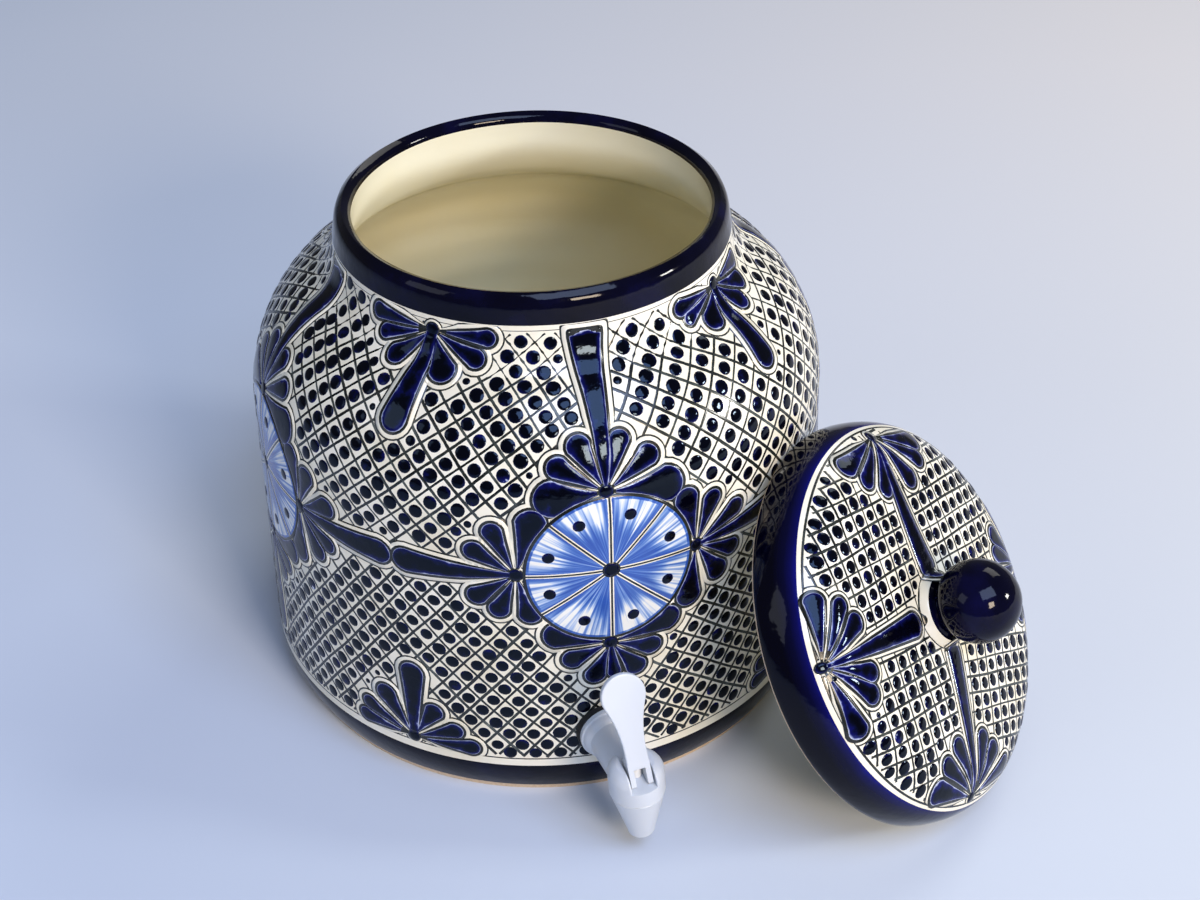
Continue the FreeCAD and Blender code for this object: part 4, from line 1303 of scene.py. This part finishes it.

# The same cobalt glaze on the rolled edge, bright blue near the cream: partly where it ran thin,
# and partly a painted reflection of the sky along the edge.
THIN_GLAZE_AND_GLINT = 15.0
cobalt_edge, tree, shader, place = material_of("cobalt_edge_glaze", 0.07, 1.52)
run_mm = add(tree, "ShaderNodeAttribute", attribute_name="run_mm")
pools = add(tree, "ShaderNodeTexNoise", {"Vector": place, "Scale": per_mm(40), "Detail": 4.0})
from_cream = add(
    tree, "ShaderNodeMath", {0: LID_BORDER, 1: run_mm.outputs["Fac"]}, operation="SUBTRACT"
)
reached = add(
    tree, "ShaderNodeMath", {0: from_cream.outputs[0], 1: THIN_GLAZE_AND_GLINT}, operation="DIVIDE"
)
thickness_and_painted_light = add(
    tree,
    "ShaderNodeMath",
    {0: pools.outputs["Fac"], 1: 0.5, 2: reached.outputs[0]},
    operation="MULTIPLY_ADD",
)
# Painted reflection in part: the bright blue near the cream stands for the sky's glint as well as
# thin glaze.
cobalt = add(
    tree,
    "ShaderNodeValToRGB",
    {"Fac": thickness_and_painted_light.outputs[0]},
    [(0.2, "#0F116E"), (0.36, "#0A0B4A"), (0.6, "#05062A"), (1.0, "#020210")],
)
tree.links.new(cobalt.outputs["Color"], shader.inputs["Base Color"])
shader.inputs["Specular IOR Level"].default_value = 0.16
peel = add(tree, "ShaderNodeTexNoise", {"Vector": place, "Scale": per_mm(7), "Detail": 2.0})
relief = add(tree, "ShaderNodeBump", {"Height": peel.outputs["Fac"], "Distance": 0.16 * MM})
tree.links.new(relief.outputs["Normal"], shader.inputs["Normal"])
LID_ROW_STEP = 3.0
AROUND_LID = 200
lid_shell = spun_piece(
    "lid_shell",
    lid_skin.turned,
    stops_between(sorted(set(corners) | {LID_BORDER}), LID_ROW_STEP),
    [(corners[0], 3), (corners[6], 0), (corners[8], 4), (LID_BORDER, 2), (KNOB_FOOT, 1)],
    [bare_clay, cobalt_band, tin_glaze, honey_glaze_painted_shade, cobalt_edge],
    AROUND_LID,
)
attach(lid_shell, "lid")
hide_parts("lid")

# Four flowers stand at the lid's edge. Places are millimetres across and up from its middle: a
# flower's dot, and each petal's end with its radius.
lid_paint = Painting(lid_skin)
TOP_LID_PETALS = [
    (-0.2, 83.2, 5.0),
    (3.9, 72.3, 4.6),
    (12.2, 62.0, 4.7),
    (32.8, 54.8, 5.4),
    (48.1, 56.3, 4.6),
    (55.6, 62.8, 5.0),
]
LEFT_LID_PETALS = [
    (-67.6, 55.2, 4.2),
    (-59.8, 46.1, 4.1),
    (-58.0, 35.2, 4.8),
    (-66.1, 13.9, 4.6),
    (-72.6, 6.8, 4.9),
    (-86.8, -1.2, 4.2),
]
BOTTOM_LID_PETALS = [
    (-62.8, -57.5, 5.5),
    (-52.3, -51.8, 4.7),
    (-39.7, -50.6, 4.7),
    (-20.5, -60.9, 4.4),
    (-16.6, -70.1, 4.2),
    (-10.6, -83.8, 4.2),
]
RIGHT_LID_PETALS = [(-x, -y, radius) for x, y, radius in LEFT_LID_PETALS]
LID_FLOWERS = [
    # dot, the long petal's end, radius and bow, and the short petals
    ((30.3, 81.4), ((7.0, 20.0), 6.0, -3.0), TOP_LID_PETALS),
    ((-84.0, 31.5), ((-24.7, 8.8), 5.8, 0.0), LEFT_LID_PETALS),
    ((-42.1, -77.6), ((-8.6, -19.1), 4.8, 1.0), BOTTOM_LID_PETALS),
    ((84.0, -31.5), ((24.7, -8.8), 5.6, 0.0), RIGHT_LID_PETALS),
]
LID_BEAD = 2.4
LID_PETAL_BORDER = 2.4
for dot, (end, radius, bow), petals in LID_FLOWERS:
    strokes = [Petal(dot, (x, y), r) for x, y, r in petals]
    strokes.append(Petal(dot, end, radius, root_half=1.0, power=1.0, bow=bow))
    lid_paint.flower(dot, strokes, LID_BEAD, LID_PETAL_BORDER)
lid_paint.covers.append((0, 0, LID_FIELD[0] + 0.3))
lid_paint.close()

# The lid's net is drawn anew between each two flowers.
LID_NET_LINE = 1.3
LID_DROP = 3.15
LID_SPAN = 130
LID_LATTICES = [
    # from and to in degrees, the lines' two slopes and steps, and where one drop sits
    (70, 160, (67, -17), (8.7, 8.0), (-28.5, 58.5)),
    (160, 243, (71, -21), (9.0, 7.4), (-44.7, 3.3)),
    (243, 340, (51, -31), (8.4, 7.9), (-0.9, -34.0)),
    (340, 430, (72, -18), (8.3, 8.7), (40.8, 39.4)),
]
for low, high, slopes, steps, drop_place in LID_LATTICES:

    def on_lid(spot):
        return drop_place[0] + spot.x, drop_place[1] + spot.y

    def in_sector(u, v):
        degrees = (math.degrees(math.atan2(v, u)) - low) % 360
        return degrees < high - low and LID_FIELD[0] < math.hypot(u, v) < LID_FIELD[1] - 0.6

    net(lid_paint, slopes, steps, LID_NET_LINE, LID_DROP, in_sector, on_lid, LID_SPAN)

for radius in LID_FIELD:
    route = []
    for k in range(181):
        turn = math.radians(2 * k)
        reach = radius + wander(radius, 2 * k, 0.3)
        route.append((reach * math.cos(turn), reach * math.sin(turn)))
    lid_paint.lines.ridge(route, CLOSING_LINE, CLOSING_LINE_TOP, 0.1)
lid_paint.pieces("lid", "lid", "lid_glaze")


# ---------------------------------------------------------------- tap
# The tap's body, bonnet, lever and back nut are injection-moulded in white ABS. The shank goes
# through the wall between two rubber washers, and the nut draws it tight from inside.
def dress(names, finish):
    """Gives CAD nodes their finish."""
    for name in names:
        for material_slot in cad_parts[name].material_slots:
            material_slot.material = finish


# White ABS: satin gloss from a polished mould, with a faint depth.
white_abs, tree, shader, place = material_of("moulded_white_abs", 0.28, 1.53)
shader.inputs["Base Color"].default_value = colour("#CFD5DC")
shader.inputs["Subsurface Weight"].default_value = 0.12
shader.inputs["Subsurface Radius"].default_value = (1.0, 0.9, 0.8)
shader.inputs["Subsurface Scale"].default_value = 0.0015
mould = add(tree, "ShaderNodeTexNoise", {"Vector": place, "Scale": per_mm(1.5), "Detail": 3.0})
relief = add(tree, "ShaderNodeBump", {"Height": mould.outputs["Fac"], "Distance": 0.02 * MM})
tree.links.new(relief.outputs["Normal"], shader.inputs["Normal"])
dress(("tap_body", "tap_bonnet", "tap_lever", "shank_nut"), white_abs)

# Acetal for the stem, turned on a lathe: whiter and a little duller than the ABS.
acetal, tree, shader, place = material_of("turned_acetal", 0.35, 1.48)
shader.inputs["Base Color"].default_value = colour("#F0F1F0")
lathe = add(
    tree, "ShaderNodeTexWave", {"Vector": place, "Scale": per_mm(2.0)}, bands_direction="Z"
)
relief = add(tree, "ShaderNodeBump", {"Height": lathe.outputs["Fac"], "Distance": 0.01 * MM})
tree.links.new(relief.outputs["Normal"], shader.inputs["Normal"])
dress(("valve_stem",), acetal)

# Black rubber washers and ring: matt, with the bloom that rubber gets.
black_rubber, tree, shader, place = material_of("black_rubber", 0.7, 1.52)
bloom = add(tree, "ShaderNodeTexNoise", {"Vector": place, "Scale": per_mm(3), "Detail": 5.0})
dark = add(
    tree,
    "ShaderNodeValToRGB",
    {"Fac": bloom.outputs["Fac"]},
    [(0.35, "#070708"), (0.7, "#161618")],
)
tree.links.new(dark.outputs["Color"], shader.inputs["Base Color"])
relief = add(tree, "ShaderNodeBump", {"Height": bloom.outputs["Fac"], "Distance": 0.03 * MM})
tree.links.new(relief.outputs["Normal"], shader.inputs["Normal"])
dress(("outer_washer", "inner_washer", "stem_o_ring"), black_rubber)

# Silicone plug: milky and soft.
silicone, tree, shader, place = material_of("milky_silicone", 0.45, 1.41)
shader.inputs["Base Color"].default_value = colour("#DADAD4")
shader.inputs["Subsurface Weight"].default_value = 0.4
shader.inputs["Subsurface Scale"].default_value = 0.002
soft = add(tree, "ShaderNodeTexNoise", {"Vector": place, "Scale": per_mm(2), "Detail": 3.0})
relief = add(tree, "ShaderNodeBump", {"Height": soft.outputs["Fac"], "Distance": 0.02 * MM})
tree.links.new(relief.outputs["Normal"], shader.inputs["Normal"])
dress(("seat_plug",), silicone)

# Drawn stainless wire for the spring, and a ground stainless pin.
stainless_wire, tree, shader, place = material_of("drawn_stainless_wire", 0.25)
shader.inputs["Metallic"].default_value = 1.0
shader.inputs["Base Color"].default_value = colour("#C2C4C6")
drawn = add(tree, "ShaderNodeTexNoise", {"Vector": place, "Scale": per_mm(0.4), "Detail": 4.0})
relief = add(tree, "ShaderNodeBump", {"Height": drawn.outputs["Fac"], "Distance": 0.005 * MM})
tree.links.new(relief.outputs["Normal"], shader.inputs["Normal"])
dress(("lever_pin",), stainless_wire)


# ---------------------------------------------------------------- return spring
# The spring that shuts the valve is wound of stainless wire and slipped over the stem. It sits
# between the boss in the bonnet and the stem's flange, and shortens as the stem lifts.

# The stem stands this far out from the wall and leans a little to the left.
WALL_RADIUS = 144.3
TAP_REACH = 40.3
TAP_ROLL = math.radians(4.1)
tap_place = math.radians(TAP_PLACE)
wall_face = Vector((math.sin(tap_place), -math.cos(tap_place), 0)) * WALL_RADIUS
seam = (wall_face - shank_way * TAP_REACH + Vector((0, 0, TAP_HEIGHT))) * MM
tap_side = shank_way.cross(Vector((0, 0, 1)))
stem_way = Vector((0, 0, 1)) * math.cos(TAP_ROLL) - tap_side * math.sin(TAP_ROLL)
stem_side = stem_way.orthogonal().normalized()
stem_front = stem_way.cross(stem_side)
# Heights run along the stem from the bonnet's seam.
SPRING_RADIUS = 4.2
SPRING_WIRE = 0.35
SPRING_TURNS = 3.5
SPRING_PLAY = 0.05
FLANGE_TOP = -5.8
BOSS_FOOT = 2.5
foot = FLANGE_TOP + SPRING_WIRE + SPRING_PLAY
head = BOSS_FOOT - SPRING_WIRE - SPRING_PLAY
WIRE_SIDES = 10
PARTS_A_TURN = 28
count = round(SPRING_TURNS * PARTS_A_TURN)
verts = []
faces = []
for k in range(count + 1):
    turn = 2 * math.pi * SPRING_TURNS * k / count
    out = stem_side * math.cos(turn) + stem_front * math.sin(turn)
    middle = out * SPRING_RADIUS + stem_way * (foot + (head - foot) * k / count)
    for i in range(WIRE_SIDES):
        bend = 2 * math.pi * i / WIRE_SIDES
        rim = out * math.cos(bend) + stem_way * math.sin(bend)
        verts.append(seam + (middle + rim * SPRING_WIRE) * MM)
    if k:
        low = (k - 1) * WIRE_SIDES
        for i in range(WIRE_SIDES):
            j = (i + 1) % WIRE_SIDES
            faces.append((low + i, low + j, low + WIRE_SIDES + j, low + WIRE_SIDES + i))
faces.append(tuple(range(WIRE_SIDES)))
faces.append(tuple(range(count * WIRE_SIDES, (count + 1) * WIRE_SIDES))[::-1])
coil_mesh = bpy.data.meshes.new("coil_spring")
coil_mesh.from_pydata(verts, [], faces)
shape = bmesh.new()
shape.from_mesh(coil_mesh)
bmesh.ops.recalc_face_normals(shape, faces=shape.faces)
shape.to_mesh(coil_mesh)
shape.free()
coil_mesh.polygons.foreach_set("use_smooth", [True] * (len(faces) - 2) + [False] * 2)
coil_mesh.materials.append(stainless_wire)
coil = bpy.data.objects.new("coil_spring", coil_mesh)
bpy.context.scene.collection.objects.link(coil)
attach(coil, "root")
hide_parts("return_spring")
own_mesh(coil)


# ---------------------------------------------------------------- floor and light
# A plain pale table under soft light: a window's sky high in front, a warmer patch under it, and
# an even room all round.

# A matt, pale table top whose colour paints the room's light and shade: cool and darker at the left,
# warmer and paler at the right and behind, as painted shade and painted light.
painted_light_table, tree, shader, place = material_of("pale_matt_table_painted_light", 0.8)
axes = add(tree, "ShaderNodeSeparateXYZ", {"Vector": place})
rightwards = add(
    tree, "ShaderNodeMath", {0: axes.outputs["X"], 1: 0.55, 2: 0.45}, operation="MULTIPLY_ADD"
)
# Painted light and shade: darker and bluer at the left, paler at the right, and warmer behind.
near = add(
    tree,
    "ShaderNodeValToRGB",
    {"Fac": rightwards.outputs[0]},
    [(0.1, "#C6D6F0"), (0.75, "#D1D6DA")],
)
far = add(
    tree,
    "ShaderNodeValToRGB",
    {"Fac": rightwards.outputs[0]},
    [(0.1, "#CCD7E8"), (0.75, "#E4E1DF")],
)
backwards = add(
    tree,
    "ShaderNodeMath",
    {0: axes.outputs["Y"], 1: 1.1, 2: 0.25},
    operation="MULTIPLY_ADD",
    use_clamp=True,
)
pale = add(
    tree,
    "ShaderNodeMix",
    {0: backwards.outputs[0], 6: near.outputs["Color"], 7: far.outputs["Color"]},
    data_type="RGBA",
)
tree.links.new(pale.outputs[2], shader.inputs["Base Color"])
shader.inputs["Specular IOR Level"].default_value = 0.2
FLOOR_RADIUS = 9000.0
floor_mesh = bpy.data.meshes.new("floor")
shape = bmesh.new()
bmesh.ops.create_circle(shape, cap_ends=True, segments=96, radius=FLOOR_RADIUS * MM)
shape.to_mesh(floor_mesh)
shape.free()
floor_mesh.materials.append(painted_light_table)
floor = bpy.data.objects.new("floor", floor_mesh)
bpy.context.scene.collection.objects.link(floor)


def lamp(name, place, target, width, height, watts, code):
    """A soft rectangular light that looks at a point."""
    light = bpy.data.lights.new(name, "AREA")
    light.shape = "RECTANGLE"
    light.size = width
    light.size_y = height
    light.energy = watts
    light.color = colour(code)[:3]
    made = bpy.data.objects.new(name, light)
    way = Vector(target) - Vector(place)
    made.matrix_world = Matrix.Translation(place) @ way.to_track_quat("-Z", "Y").to_matrix().to_4x4()
    bpy.context.scene.collection.objects.link(made)


lamp("window_sky", (0.85, -1.67, 2.8), (0.0, 0.0, 0.1), 2.1, 1.5, 74.0, "#BFD4FF")
lamp("window_low", (1.15, -2.3, 1.35), (0.0, 0.0, 0.1), 0.75, 0.55, 48.0, "#FFEACF")
lamp("room_right", (2.25, -0.55, 0.85), (0.1, -0.1, 0.1), 0.36, 0.25, 20.0, "#FFFDF6")
lamp("room_behind", (1.6, 1.6, 2.2), (0.1, 0.0, 0.1), 1.4, 1.2, 20.0, "#FFFDF6")
lamp("room_left", (-2.4, -1.2, 1.6), (0.0, 0.0, 0.1), 1.2, 1.2, 8.0, "#E6EDFF")
world = bpy.data.worlds.new("room")
world.use_nodes = True
bpy.context.scene.world = world
background = world.node_tree.nodes["Background"]
background.inputs["Color"].default_value = colour("#EEF0F6")
background.inputs["Strength"].default_value = 0.16
